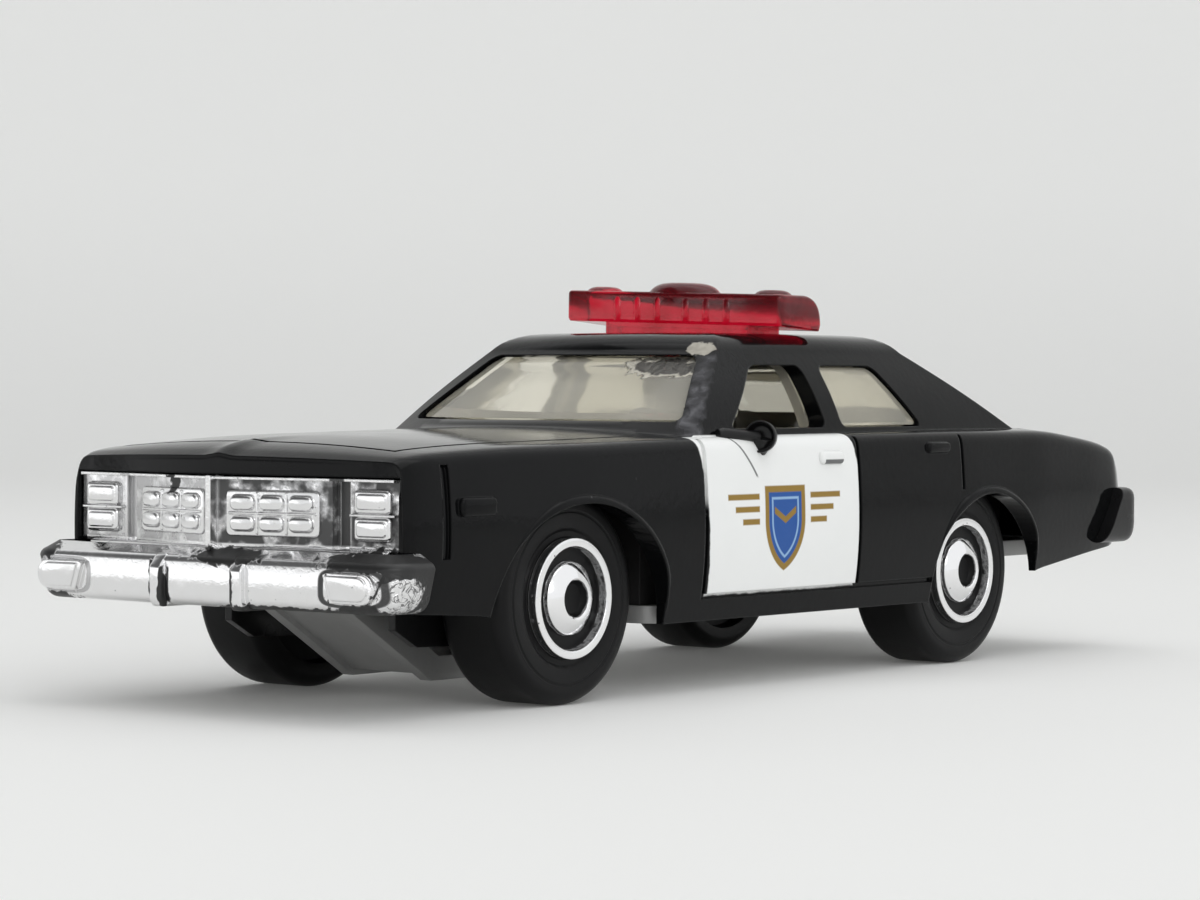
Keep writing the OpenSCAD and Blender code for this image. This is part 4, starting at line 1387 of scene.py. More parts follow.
@dataclass
class CastBody:
    """Die-cast body with its doors, lips, handles, posts and roof."""

    form: BodyForm
    windows: Windows
    trim: "FrontTrim"
    front_x: float = 21.3
    rear_x: float = -19.6
    front_arch: Pair = (7.4, 11.05)
    rear_arch: Pair = (6.4, 10.7)
    arch_rise: float = 0.7
    lip: Pair = (0.36, 0.26)
    relief: float = 0.2
    gap: float = 0.3
    door_x: Pair = (-5.0, 10.4)
    door_h: float = 9.05
    rear_door_x: float = -16.5
    bonnet_back_x: float = 14.0
    bonnet_front: float = 1.7
    bonnet_half: float = 9.9
    boot_inset: float = 2.3
    side_groove: Pair = (11.5, 2.5)
    deck_groove: Pair = (11.5, 17.0)
    pad_table: Sequence[tuple[float, ...]] = (
        (-1.95, -1.2, 2.4, 0.78, 0.24),
        (-13.6, -0.75, 2.5, 0.7, 0.24),
        (30.4, -3.32, 2.85, 1.02, 0.3),
    )
    spot_x: float = 4.9
    spot_foot_x: float = 8.0
    spot_aim: Place = (0.93, 0.36, 0.03)
    stalk_aim: Place = (-0.1, -0.25, -1.15)
    skirt_y: float = 5.6
    flap_y: float = 5.8
    skirt_wall: float = 0.5
    trim_half_w: float = 11.3
    fit: float = 0.1
    front_slot: Pair = (9.0, 6.9)
    rear_room: Pair = (10.4, 5.5)
    rear_slot: Pair = (7.6, 3.2)
    tail_lamp_y: float = 5.2
    tail_lamp_z: float = 6.9
    tail_lamp_half: float = 2.6
    tail_lamp_h: float = 1.1
    tail_lamp_depth: float = 0.42
    peg_hole_r: float = 0.9
    post_table: Sequence[Pair] = ((32.0, 5.8), (-30.0, 6.2))
    post_ease: float = 1.2

    def arch(self, front: bool, grow: float) -> list[Pair]:
        """Outline of a wheel opening.

        Args:
            front: Whether it is a front wheel's.
            grow: How far it is widened.
        Returns:
            Its crown and its two feet below the sill.
        """
        r, top = self.front_arch if front else self.rear_arch
        low = self.form.sill_z + self.arch_rise
        x = self.front_x if front else self.rear_x
        angles = [math.radians(i * 180 / 40) for i in range(41)]
        crown = [(x + (r + grow) * math.cos(a), low + (top + grow - low) * math.sin(a)) for a in angles]
        return crown + [(x - r - grow, low - 4), (x + r + grow, low - 4)]

    def seams(self) -> list[tuple[list[Pair], float, float, Matrix]]:
        """Thin slabs that cut the gaps round the doors, bonnet and boot.

        Returns:
            An outline with its lower and upper limit and its facing, for each gap.
        """
        form, g = self.form, self.gap

        def box(x: float, z: float, w: float, h: float) -> list[Pair]:
            """Rectangle from its corner and its size."""
            return rectangle(x, z, x + w, z + h)

        door_low = form.sill_z + 1.25
        arch_front = self.rear_x + self.rear_arch[0]
        door_back, door_front = self.door_x
        flank = [
            box(door_front, door_low, g, self.door_h), box(door_back, door_low, g, self.door_h),
            box(self.rear_door_x, self.rear_arch[1] + 0.3, g, 3.4),
            box(form.nose_x - 3.3, form.sill_z + 4.3, 2 * g, 4.9),
            box(arch_front, door_low, door_front + g - arch_front, g)]
        half = self.bonnet_half + g / 2
        edge_x, peak_x = form.nose_x - 1.95, form.nose_x - 1.6
        length = form.nose_x - self.bonnet_front - self.bonnet_back_x
        bonnet = [box(self.bonnet_back_x, s * self.bonnet_half - g / 2, length, g) for s in (-1, 1)]
        bonnet.append([(edge_x, -half), (edge_x + g, -half), (peak_x + g, 0), (edge_x + g, half),
                       (edge_x, half), (peak_x, 0)])
        boot_x, boot_half = form.tail_x + 2, form.half_w - self.boot_inset
        boot = [box(boot_x, s * boot_half - g / 2, form.back_foot_x - boot_x, g) for s in (-1, 1)]
        boot.append(box(boot_x, -boot_half, g, 2 * boot_half))
        y, reach = self.side_groove
        sides = [(line, s * y - reach, s * y + reach, FACE_SIDE) for line in flank for s in (-1, 1)]
        decks = [(line, *self.deck_groove, FACE_TOP) for line in bonnet + boot]
        return sides + decks

    def pads(self) -> Mould:
        """Door handles and marker lamps that stand out of the sides.

        Returns:
            A mould of all of them, with rounded edges.
        """
        form = self.form
        mould = Mould()
        for x, from_crease, length, height, proud in self.pad_table:
            z = form.crease_z + from_crease
            a, b = length / 2, height / 2
            outline = rectangle(x - a, z - b, x + a, z + b)
            out = form.flank(x, z) + proud
            mould.slab(outline, form.half_w - 1.2, out, FACE_SIDE, corner=0.3, edge=0.2)
        return mould.mirror()

    def lips(self) -> list[Mould]:
        """Rounded lips round the wheel openings, faded out where the tyre hides them.

        Returns:
            A mould for each axle.
        """
        form, (width, proud) = self.form, self.lip
        turns = [math.tau * k / 14 for k in range(14)]
        moulds = []
        for front in (True, False):
            crown = [(x, z) for x, z in self.arch(front, 0.1)[:-2] if z > form.sill_at(x) + 0.45]
            middle = Vector((self.front_x if front else self.rear_x, form.sill_z + self.arch_rise))
            rings = []
            for i, (x, z) in enumerate(crown):
                share = i / (len(crown) - 1)
                size = clamp((share - 0.16) / 0.2, 0.02) * clamp((1.0 - share) / 0.12, 0.02)
                out = (Vector((x, z)) - middle).normalized() * width * size
                side = -form.flank(x, z)
                rings.append([
                    (x + out.x * math.cos(a), side - proud * size * math.sin(a), z + out.y * math.cos(a))
                    for a in turns])
            moulds.append(Mould().rings(rings).mirror())
        return moulds

    def spotlight(self) -> Mould:
        """Cup lamp on its bracket by the left windscreen post.

        Returns:
            A mould of lamp, stalk and bracket.
        """
        mould = Mould()
        lamp = Vector((self.spot_x, self.form.half_w - 0.3, self.form.belt_z - 0.2))
        cup = [(0, -0.85), (0.4, -0.8), (0.72, -0.55), (0.9, -0.1), (0.95, 0.42), (0.92, 0.5), (0.84, 0.5),
               (0.78, 0.3), (0.6, 0.05), (0, 0.0)]
        mould.turn(cup, lamp, self.spot_aim, 48)
        stalk = [(0, 0), (0.72, 0.05), (0.62, 0.5), (0.34, 1.02), (0.16, 1.14), (0, 1.16)]
        mould.turn(stalk, lamp, self.stalk_aim, 32)
        foot = Vector((self.spot_foot_x, self.form.belt_w + 0.2, self.form.belt_z - 0.05))
        reach = (foot - lamp).length
        arm = [(0, 0.2), (0.34, 0.3), (0.3, 1.2), (0.4, reach - 0.3), (0.3, reach), (0, reach + 0.05)]
        mould.turn(arm, lamp, foot - lamp, 24)
        return mould

    def build(self) -> bpy.types.Object:
        """Cast the shell.

        Returns:
            The shell as one solid in millimetres.
        """
        form = self.form
        shell = form.loft().solid()
        for outline, low, high, facing in self.seams():
            groove = Mould()
            groove.slab(outline, low, high, facing)
            combine(shell, groove.solid(), Cut.TAKE)
        combine(shell, form.loft(self.relief, -0.1).solid(), Cut.ADD)
        combine(shell, form.glasshouse(0.0, form.crease_z - 1).solid(), Cut.ADD)
        for added in (self.pads(), *self.lips()):
            combine(shell, added.solid(), Cut.ADD)
        front = self.trim.back_x - self.fit - form.wall
        back = form.tail_x + 1.6 + self.fit + form.wall
        combine(shell, form.loft(form.wall, 6.0, front, back).solid(), Cut.TAKE)
        combine(shell, form.glasshouse(form.wall, form.crease_z - 2.5).solid(), Cut.TAKE)
        for cutter in self.cutters():
            combine(shell, cutter.solid(), Cut.TAKE)
        return shell

    def cutters(self) -> list[Mould]:
        """Openings for glass, wheels, trim, tail lamps and the roof light's pegs.

        Returns:
            A mould for each opening.
        """
        windows = self.windows
        cutters = [windows.side_cutter(pane, 0.0) for pane in (windows.front_pane, windows.rear_pane)]
        cutters += [windows.screen_cutter(front, 0.0) for front in (True, False)]
        for front in (True, False):
            wheel_room = Mould()
            wheel_room.slab(self.arch(front, 0.0), -16, -7, FACE_SIDE)
            cutters.append(wheel_room.mirror())
        cutters += self.trim_rooms()
        cutters.append(self.tail_lamps())
        cutters.append(pegs(rectangle(0, -2, self.peg_hole_r, 3), self.form.rail_z))
        return cutters

    def trim_rooms(self) -> list[Mould]:
        """Room for the two trims, their tongues and the ends of the base.

        Returns:
            A mould for each block that is cut away.
        """
        form, back = self.form, self.trim.back_x
        grille_top = self.trim.grille_top_z + self.fit
        (rear_half, rear_top), (slot_half, slot_top) = self.rear_room, self.rear_slot
        blocks = [
            (back - self.fit, back + 20, self.trim_half_w + self.fit, grille_top),
            (form.nose_x - 0.9, back + 20, self.trim_half_w + 0.5, grille_top),
            (back - 2, back + 18, *self.front_slot),
            (form.tail_x - 20, form.tail_x + 1.7, rear_half, form.sill_z + rear_top),
            (form.tail_x - 17, form.tail_x + 3.6, slot_half, form.sill_z + slot_top)]
        rooms = []
        for low, high, half, top in blocks:
            room = Mould()
            room.slab(rectangle(-half, -1, half, top), low, high, FACE_FRONT)
            rooms.append(room)
        return rooms

    def tail_lamps(self) -> Mould:
        """Shallow recesses of the two tail lamps.

        Returns:
            A mould of both, bowed as the tail is.
        """
        form, half = self.form, self.tail_lamp_half
        z = form.sill_z + self.tail_lamp_z
        mould = Mould()
        for side in (-1, 1):
            y = side * (form.half_w - self.tail_lamp_y)
            mould.slab(rectangle(y - half, z, y + half, z + self.tail_lamp_h), form.tail_x - 10,
                       form.tail_x + self.tail_lamp_depth, FACE_FRONT, corner=0.25)

        def follow(p: Vector) -> Vector:
            """Carry a point back by the tail's bow."""
            return Vector((p.x + form.bow(form.tail_x, p.y, form.half_w - 0.9), p.y, p.z))

        return mould.bend(follow)

    def posts(self) -> Mould:
        """The two posts that the base is riveted to.

        Returns:
            A mould of both, with their spread heads.
        """
        mould = Mould()
        for x, low in self.post_table:
            top = eased(x, self.form.deck_line, self.post_ease) - 0.6
            head = [(0, low - 0.45), (0.9, low - 0.45), (1.3, low - 0.2), (1.35, low - 0.04)]
            shank = [(0.9, low - 0.02), (0.9, low + 1.0), (1.4, low + 1.02), (1.7, top), (0, top)]
            mould.turn(head + shank, (x, 0, 0), UP, 48)
        return mould

    def skirts(self) -> Mould:
        """Inner walls of the casting behind the wheel openings, notched for the front axle, whose plain black
        is painted shade under the body.

        Returns:
            A mould of both sides.
        """
        low, high, x = self.form.sill_z, self.form.crease_z - 2.0, self.front_x
        front = [(x - 7.0, low + 0.5), (x - 1.0, low + 0.5), (x - 1.0, low + 2.9), (x + 1.0, low + 2.9),
                 (x + 1.0, low + 0.9), (x + 11.2, low + 1.7), (x + 11.2, high), (x - 7.0, high)]
        flap = [(x + 3.2, low - 0.9), (x + 6.7, low - 0.8), (x + 8.5, low + 0.2), (x + 8.5, low + 2.5),
                (x + 3.2, low + 2.5)]
        x = self.rear_x
        rear = [(x - 11.5, low + 2.6), (x - 3.6, low + 2.2), (x - 3.6, high - 0.4), (x - 11.5, high - 0.4)]
        mould = Mould()
        for outline, y in ((front, self.skirt_y), (rear, self.skirt_y), (flap, self.flap_y)):
            mould.slab(outline, y, y + self.skirt_wall, FACE_SIDE)
        return mould.mirror()

    def dress(self, paint: bpy.types.Material, plain: bpy.types.Material) -> None:
        """Finish the shell and its smaller parts.

        Args:
            paint: Printed paint of the shell.
            plain: Plain black of the spotlight and posts, and painted shade on the inner walls.
        """
        finish_piece(self.build(), "cast_body", paint, CAR, ["body_shell"])
        finish_piece(self.spotlight().solid(), "post_spotlight", plain, CAR)
        finish_piece(self.posts().solid(), "rivet_posts", plain, CAR)
        finish_piece(self.skirts().solid(), "inner_shade_skirts", plain, CAR)


@dataclass
class Glazing:
    """One clear moulding behind the windows and under the roof."""

    form: BodyForm
    windows: Windows
    thick: float = 0.65
    gap: float = 0.06
    sunk: float = 0.25
    flange_z: float = 13.2
    peg_hole_r: float = 0.92

    def build(self) -> bpy.types.Object:
        """Mould the glass.

        Returns:
            The glass as one solid in millimetres.
        """
        form, windows = self.form, self.windows
        outer = form.wall + self.gap
        glass = form.glasshouse(outer, self.flange_z).solid()
        cutters = [windows.side_cutter(windows.rear_pane, 0.1), windows.screen_cutter(True, 0.1),
                   windows.screen_cutter(False, 0.1)]
        for cutter in cutters:
            pane = form.glasshouse(self.sunk, self.flange_z).solid()
            combine(glass, combine(pane, cutter.solid(), Cut.KEEP), Cut.ADD)
        combine(glass, form.glasshouse(outer + self.thick, self.flange_z - 3).solid(), Cut.TAKE)
        foot, head = windows.front_pane
        hole = Mould()
        low, top = self.flange_z - 1, windows.top_z + 0.2
        outline = [(foot[0], low), (foot[1] + 0.6, low), (head[1] - 0.8, top), (head[0], top)]
        hole.slab(outline, *windows.side_span, FACE_SIDE)
        combine(glass, hole.mirror().solid(), Cut.TAKE)
        peg_holes = pegs(rectangle(0, -4, self.peg_hole_r, 3), form.rail_z)
        return combine(glass, peg_holes.solid(), Cut.TAKE)

    def dress(self, glass: bpy.types.Material) -> None:
        """Finish the glass."""
        finish_piece(self.build(), "window_glazing", glass, CAR, ["glazing"])


@dataclass
class RoofLight:
    """Red roof light: a bar upright in front and rounded behind, with a crown, two domes and flutes."""

    form: BodyForm
    x: float = PEG_X
    half_l: float = 8.3
    half_w: float = 2.2
    low_z: float = 20.95
    top_z: float = 23.15
    crown_z: float = 23.8
    crown_x: float = 0.5
    end_round: float = 0.35
    crown_half: Pair = (1.75, 2.75)
    end_dome_half: Pair = (1.3, 1.45)
    end_dome_y: float = 6.5
    end_dome_rise: float = 0.28
    foot_half_l: float = 5.6
    flutes: Sequence[float] = (1.1, 2.65, 4.2)
    askew: float = 0.028

    def ring(self, y: float, shrink: float) -> list[Place]:
        """Section of the bar at a place along it.

        Args:
            y: Place along the bar.
            shrink: Share that it is drawn in towards its middle.
        Returns:
            A closed ring of points.
        """
        w, low, top = self.half_w, self.low_z, self.top_z
        section = [(w - 0.12, low + 0.28), (w, low + 0.45)]
        section += curve((w, top - 0.3), (w, top), (w - 0.3, top), 5)
        section += curve((-0.2, top), (-w, top), (-w, low + 0.35), 12) + [(0.15 - w, low)]
        middle = (low + top) / 2
        return [(self.x + px * (1 - shrink), y, mix(pz, middle, shrink)) for px, pz in section]

    def bar(self) -> Mould:
        """Long bar with softened ends.

        Returns:
            A mould of it.
        """
        rings = []
        for end in (-1, 1):
            angles = [math.pi / 2 * i / 5 for i in range(6)]
            for a in angles if end < 0 else reversed(angles):
                y = end * (self.half_l - self.end_round * (1 - math.cos(a)))
                rings.append(self.ring(y, 0.2 * (1 - math.sin(a))))
        return Mould().rings(rings)

    def dome(self, y: float, half: Pair, top: float) -> Mould:
        """Soft-shouldered dome on the bar.

        Args:
            y: Its place along the bar.
            half: Half of its length in X and in Y.
            top: Height of its top.
        Returns:
            A mould of it, down into the bar.
        """
        low = self.low_z + 0.9
        turns = [math.pi / 2 * i / 10 for i in range(10)]
        shoulder = [(math.cos(a) ** 0.5, 0.25 + 0.75 * math.sin(a)) for a in turns]
        mould = Mould()
        mould.turn([(0.0, 0.0), *shoulder, (0.0, 1.0)], (0, 0, 0), UP, 48)

        def fit(p: Vector) -> Vector:
            """Stretch the unit dome to its size and set it on the bar."""
            return Vector((self.x + self.crown_x + p.x * half[0], y + p.y * half[1], mix(low, top, p.z)))

        return mould.bend(fit)

    def build(self) -> bpy.types.Object:
        """Model the light, which sits a little askew on its pegs.

        Returns:
            Bar, domes, flutes, foot and pegs as one solid.
        """
        end_top = self.top_z + self.end_dome_rise
        added = [self.dome(-0.2, self.crown_half, self.crown_z - 0.03)]
        added += [self.dome(side * self.end_dome_y, self.end_dome_half, end_top) for side in (-1, 1)]
        foot = Mould()
        foot.slab(rectangle(-1.75, -self.foot_half_l, 1.9, self.foot_half_l), self.form.roof_z - 0.02,
                  self.low_z + 0.6, Matrix.Translation((self.x, 0, 0)), corner=0.5)
        added.append(foot)
        for y in [side * y for side in (-1, 1) for y in self.flutes]:
            flute = Mould()
            flute.turn([(0, 0), (0.3, 0.02), (0.34, 0.12), (0.34, 1.3), (0.22, 1.5), (0, 1.56)],
                       (self.x + self.half_w - 0.2, y, self.low_z + 0.36), UP, 20)
            added.append(flute)
        light = self.bar().solid()
        for shape in added:
            combine(light, shape.solid(), Cut.ADD)
        for vert in light.data.vertices:
            vert.co.z -= self.askew * vert.co.y * clamp((vert.co.z - self.form.roof_z) / 0.4)
        barbed = [(0, -3.0), (1.15, -3.0), (1.2, -2.65), (0.8, -2.6), (0.8, 0.25), (0, 0.25)]
        return combine(light, pegs(barbed, self.form.roof_z).solid(), Cut.ADD)

    def dress(self, plastic: bpy.types.Material) -> None:
        """Finish the light."""
        finish_piece(self.build(), "red_roof_light", plastic, CAR, ["light_bar"])


@dataclass
class RearBumper:
    """Black moulded bumper that wraps round the tail."""

    form: BodyForm
    half_w: float = 12.85
    low_z: float = 6.95
    top_z: float = 10.7
    corner: float = 1.9
    end_x: float = -34.9
    slant: float = 0.62
    thick: float = 1.15

    def profile(self) -> list[Pair]:
        """Section of the bumper.

        Returns:
            Pairs of depth behind its face and height.
        """
        low, top, t = self.low_z, self.top_z, self.thick
        lower = curve((t, low + 0.15), (0.0, low - 0.1), (0.0, low + 1.5), 8)
        upper = curve((0.0, top - 0.75), (0.0, top), (0.75, top), 6)
        return [(t, low + 0.15), *lower, (0.0, top - 0.75), *upper, (t, top - 0.02)]

    def build(self) -> Mould:
        """Sweep the section round the tail.

        Returns:
            A mould of the bumper.
        """
        cx, cy = self.corner - self.form.half_l, self.half_w - self.corner
        side = [(mix(self.end_x, cx, i / 6), self.half_w, 0.0, 1.0) for i in range(6)]
        half = side + facing_arc((cx, cy), self.corner, 90, 180, 14)
        path = half + [(x, -y, nx, -ny) for x, y, nx, ny in reversed(half)]
        mould = Mould()
        mould.wrap(path, self.profile())
        middle = (self.low_z + self.top_z) / 2

        def lean(p: Vector) -> Vector:
            """Slant the wrapped ends, low edge forward."""
            reach = clamp((p.x - cx) / (self.end_x - cx))
            return Vector((p.x + reach * self.slant * (middle - p.z), p.y, p.z))

        return mould.bend(lean)

    def dress(self, plastic: bpy.types.Material) -> None:
        """Finish the bumper."""
        solid = self.build().solid()
        finish_piece(solid, "tail_bumper", plastic, CAR, ["rear_bumper"])


@dataclass
class Facing:
    """Flat face of a mould that panels are laid on."""

    mould: Mould
    place: Matrix

    def panel(
        self, spot: Pair, size: Pair, depth: Pair, corner: float, edge: float, rim: float = 0.0
    ) -> None:
        """Add a rounded slab or frame.

        Args:
            spot: Left and lower edge in the facing.
            size: Width and height.
            depth: Level of its back and of its front.
            corner: Radius of its corners.
            edge: Radius of its front edges.
            rim: Width of a frame, or 0 for a slab.
        """
        (x, y), (w, h) = spot, size
        self.mould.slab(rectangle(x, y, x + w, y + h), *depth, self.place, corner, edge, rim=rim)


@dataclass
class FrontTrim:
    """Plated insert of the nose: grille halves, stacked lamps, bumper, guards and park lamps."""

    form: BodyForm
    low_z: float = 5.7
    top_z: float = 8.3
    thick: float = 1.05
    corner: float = 1.7
    grille_low_z: float = 8.75
    grille_top_z: float = 12.55
    grille_half_w: float = 7.3
    grille_x: float = 37.5
    columns: int = 3
    rows: int = 2
    lamp_x: float = 35.9
    lamp_in: float = 8.15
    lamp_out: float = 11.74
    back_x: float = 33.8
    core_half_w: float = 11.25
    header_half_w: float = 11.5
    guard_y: float = 2.95
    guard_half: float = 0.42
    park_y: float = 10.55
    park_half: Pair = (1.75, 0.78)

    def grille_half(self, mould: Mould) -> None:
        """Add the left half of the grille, swept back from the middle.

        Args:
            mould: Mould that takes it.
        """
        outer_x = self.lamp_x + 0.25
        run = Vector((outer_x - self.grille_x, self.grille_half_w, 0))
        face = Facing(mould, axes((self.grille_x, 0, self.grille_low_z), run, UP))
        w, h = run.length, self.grille_top_z - self.grille_low_z
        face.panel((0.0, 0.0), (w, h), (-1.2, -0.42), 0.05, 0.05)
        face.panel((0.2, 0.0), (w - 0.2, h - 0.02), (-0.5, -0.06), 0.3, 0.1, rim=0.24)
        face.panel((0.56, 0.39), (w - 0.95, h - 0.78), (-0.5, -0.14), 0.36, 0.09, rim=0.2)
        face.panel((0.9, 0.7), (w - 1.62, h - 1.4), (-0.5, -0.27), 0.3, 0.08)
        inner_w, inner_h = w - 1.95, h - 1.62
        pitch_w, pitch_h = inner_w / self.columns, inner_h / self.rows
        for i in range(self.columns):
            for j in range(self.rows):
                x = 1.07 + i * pitch_w
                y = 0.81 + j * pitch_h
                size = (pitch_w - 0.3, pitch_h - 0.26)
                face.panel((x + 0.15, y + 0.13), size, (-0.5, -0.02), 0.34, 0.2)
        face.panel((1.07, h / 2 - 0.065), (inner_w, 0.13), (-0.5, -0.16), 0.05, 0.05)
        for i in range(1, self.columns):
            face.panel((1.0 + i * pitch_w, 0.81), (0.13, inner_h), (-0.5, -0.16), 0.05, 0.05)

    def lamps(self, mould: Mould) -> None:
        """Add the left pair of stacked rectangular lamps in their bezel.

        Args:
            mould: Mould that takes them.
        """
        w, h = self.lamp_out - self.lamp_in, self.grille_top_z - self.grille_low_z - 0.05
        origin = (self.lamp_x, self.lamp_in, self.grille_low_z + 0.05)
        face = Facing(mould, axes(origin, (-0.02, 1, 0), UP))
        face.panel((0.0, 0.0), (w, h), (-2.0, -0.42), 0.2, 0.05)
        face.panel((0.0, 0.0), (w, h), (-0.5, 0.0), 0.42, 0.12, rim=0.26)
        face.panel((0.375, 0.375), (w - 0.75, h - 0.75), (-0.5, -0.2), 0.3, 0.08, rim=0.14)
        lens_h = (h - 1.2) / 2
        for j in (0, 1):
            y = 0.53 + j * (lens_h + 0.14)
            face.panel((0.55, y), (w - 1.1, lens_h), (-0.5, -0.1), 0.28, 0.18)
            face.panel((0.8, y + 0.25), (w - 1.6, lens_h - 0.5), (-0.3, -0.03), 0.2, 0.07)
        face.panel((0.25, h / 2 - 0.07), (w - 0.5, 0.14), (-0.5, -0.14), 0.04, 0.05)

    def bumper(self, mould: Mould) -> None:
        """Add the bumper's swept section, its ledge and the core behind it.

        Args:
            mould: Mould that takes them.
        """
        form, corner = self.form, self.corner
        front, w = form.half_l - 0.35, form.half_w + 0.8
        end_x, cx = form.nose_x - 0.9, form.half_l - 0.65 - corner
        half = [(front, 0.0, 1.0, 0.0), (front, 4.0, 1.0, 0.02), (cx + corner + 0.12, 8.0, 1.0, 0.04)]
        half += facing_arc((cx, w - corner), corner, 0, 90, 14)
        half += [(mix(cx, end_x, i / 4), w, 0.0, 1.0) for i in range(1, 5)]
        low, top, thick = self.low_z, self.top_z, self.thick
        section = [(thick, low + 0.25), *curve((thick * 0.8, low), (0.0, low), (0.0, low + 0.75), 7),
                   *curve((0.0, top - 0.4), (0.0, top - 0.02), (0.38, top + 0.12), 6), (thick, top + 0.5)]
        middle = (low + top) / 2

        def shape(p: Vector) -> Vector:
            """Draw the lower edge in at the wrapped ends."""
            down = max(0.0, (middle + 0.5 - p.z) / (middle - low))
            end = 0.5 * down * clamp((abs(p.y) - 10.5) / 2.5)
            return Vector((p.x, p.y - math.copysign(end, p.y), p.z))

        path = [(x, -y, nx, -ny) for x, y, nx, ny in half[:0:-1]] + half
        mould.bend(shape, mould.wrap(path, section))
        ledge = [(form.nose_x - 0.8, -10.9), (self.grille_x - 1.7, -10.9), (self.grille_x - 0.3, 0.0),
                 (self.grille_x - 1.7, 10.9), (form.nose_x - 0.8, 10.9)]
        mould.slab(ledge, top - 0.6, self.grille_low_z + 0.12, FACE_TOP, corner=0.2, edge=0.3, steps=3)
        core = rectangle(self.back_x, -self.core_half_w, form.nose_x - 0.5, self.core_half_w)
        mould.slab(core, low + 1.1, self.grille_top_z, FACE_TOP)

    def fittings(self, mould: Mould) -> None:
        """Add the bumper's guards and park lamps.

        Args:
            mould: Mould that takes them.
        """
        low, top, root, tip = self.low_z, self.top_z, self.form.nose_x, self.form.half_l
        guard = [(root, low - 0.1), (tip - 0.25, low - 0.1), (tip, low + 0.35), (tip, top - 0.55),
                 (tip - 0.6, top + 0.12), (root, top + 0.1)]
        for side in (-1, 1):
            y = -side * self.guard_y
            mould.slab(guard, y - self.guard_half, y + self.guard_half, FACE_SIDE, corner=0.12, edge=0.26,
                       back_edge=0.26)
            front = axes((tip - 0.52, side * self.park_y, low + 1.34), (0, side, 0), (0, 0, side))
            for share, high in ((1.0, 0.22), (0.8, 0.34)):
                right, up = (half * share for half in self.park_half)
                pill = [(-1.2 * share, -up), *arc((right - up, 0), up, -90, 90, 12), (-right, up)]
                mould.slab([(x, y * side) for x, y in pill], -1.0, high, front, edge=0.07)

    def build(self) -> Mould:
        """Model the insert.

        Returns:
            A mould of all its shells.
        """
        mould = Mould()
        self.grille_half(mould)
        self.lamps(mould)
        mould.mirror()
        low, top, x = self.grille_low_z, self.grille_top_z, self.grille_x
        nose = Facing(mould, FACE_FRONT)
        nose.panel((-0.18, low - 0.1), (0.36, top - low + 0.15), (x - 1.0, x + 0.08), 0.1, 0.12)
        half, back = self.header_half_w, self.back_x + 1.4
        header = [(self.lamp_x - 0.1, -half), (self.lamp_x + 0.1, -8), (x - 0.05, 0), (self.lamp_x + 0.1, 8),
                  (self.lamp_x - 0.1, half), (back, half), (back, -half)]
        mould.slab(header, top - 0.14, top, FACE_TOP)
        self.bumper(mould)
        self.fittings(mould)
        return mould

    def dress(self, plating: bpy.types.Material) -> None:
        """Finish the insert."""
        solid = self.build().solid()
        finish_piece(solid, "plated_front", plating, CAR, ["front_trim"])


@dataclass
class Wheel:
    """One-piece wheel with raised, stamped rings."""

    node: str
    side: int
    tyre_r: float = 5.85
    tyre_w: float = 4.5
    tread_r: float = 0.75
    track_half: float = 11.35
    ring_r: float = 3.3
    ring_w: float = 0.46
    hub_r: float = 2.0
    dish_r: float = 1.03
    bore_r: float = 0.65

    def __post_init__(self) -> None:
        """Take the wheel's middle from its node's box."""
        low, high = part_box(self.node)
        self.x = (low.x + high.x) / 2 / MM
        self.z = (low.z + high.z) / 2 / MM

    def profile(self) -> list[Pair]:
        """Half-profile from the bore's blind end round the tyre to the hub's dish.

        Returns:
            Pairs of radius and height along the axle.
        """
        out, r, tread_r = self.tyre_w, self.tyre_r, self.tread_r
        ring, inner = self.ring_r, self.ring_r - self.ring_w
        bore = [(0, out - 0.4), (self.bore_r, out - 0.4), (self.bore_r, -0.25), (1.5, -0.25), (1.7, 0.9),
                (r - 1.5, 0.9), (r - 1.35, 0.15)]
        tread = arc((r - tread_r, 0.8), tread_r, -90, 0, 8)
        tread += arc((r - tread_r, out - tread_r), tread_r, 0, 90, 10)
        wall = [(r - 1.0, out - 0.005), (r - 1.05, out - 0.05), (r - 1.15, out - 0.05), (r - 1.2, out - 0.01),
                (ring + 0.62, out - 0.04), (ring + 0.5, out - 0.1), (ring + 0.36, out - 0.24),
                (ring + 0.06, out - 0.26), (ring, out - 0.2)]
        lip = 0.05
        face = out + 0.4 - lip
        raised = arc((ring - lip, face), lip, 0, 90, 4) + arc((inner + lip, face), lip, 90, 180, 4)
        trough = [(inner - 0.03, out - 0.1), (inner - 0.1, out - 0.16), (self.hub_r + 0.1, out - 0.16),
                  (self.hub_r + 0.02, out - 0.1), (self.hub_r, out + 0.12)]
        dish = self.dish_r
        cone = [(self.hub_r - 0.06, out + 0.2), (self.hub_r - 0.5, out + 0.43), (dish + 0.22, out + 0.59),
                (dish + 0.1, out + 0.6), (dish, out + 0.53), (dish - 0.06, out + 0.3),
                (dish - 0.2, out + 0.12), (0.5, out + 0.05), (0, out + 0.04)]
        return bore + tread + wall + raised + trough + cone

    def bands(self) -> list[Pair]:
        """Radii between which the wheel is stamped bright."""
        ring = (self.ring_r - self.ring_w - 0.02, self.ring_r + 0.03)
        return [ring, (self.dish_r - 0.01, self.hub_r + 0.02)]

    def dress(self) -> None:
        """Model and finish the wheel."""
        mould = Mould()
        inner_y = self.side * (self.track_half - self.tyre_w)
        mould.turn(self.profile(), (self.x, inner_y, self.z), (0, self.side, 0), 128)
        finish = WheelFinish(f"{self.node}_plastic", (self.x, inner_y, self.z), self.bands())
        name = f"{self.node}_moulding"
        finish_piece(mould.solid(), name, finish.material(), self.node, [self.node], sharp=28)


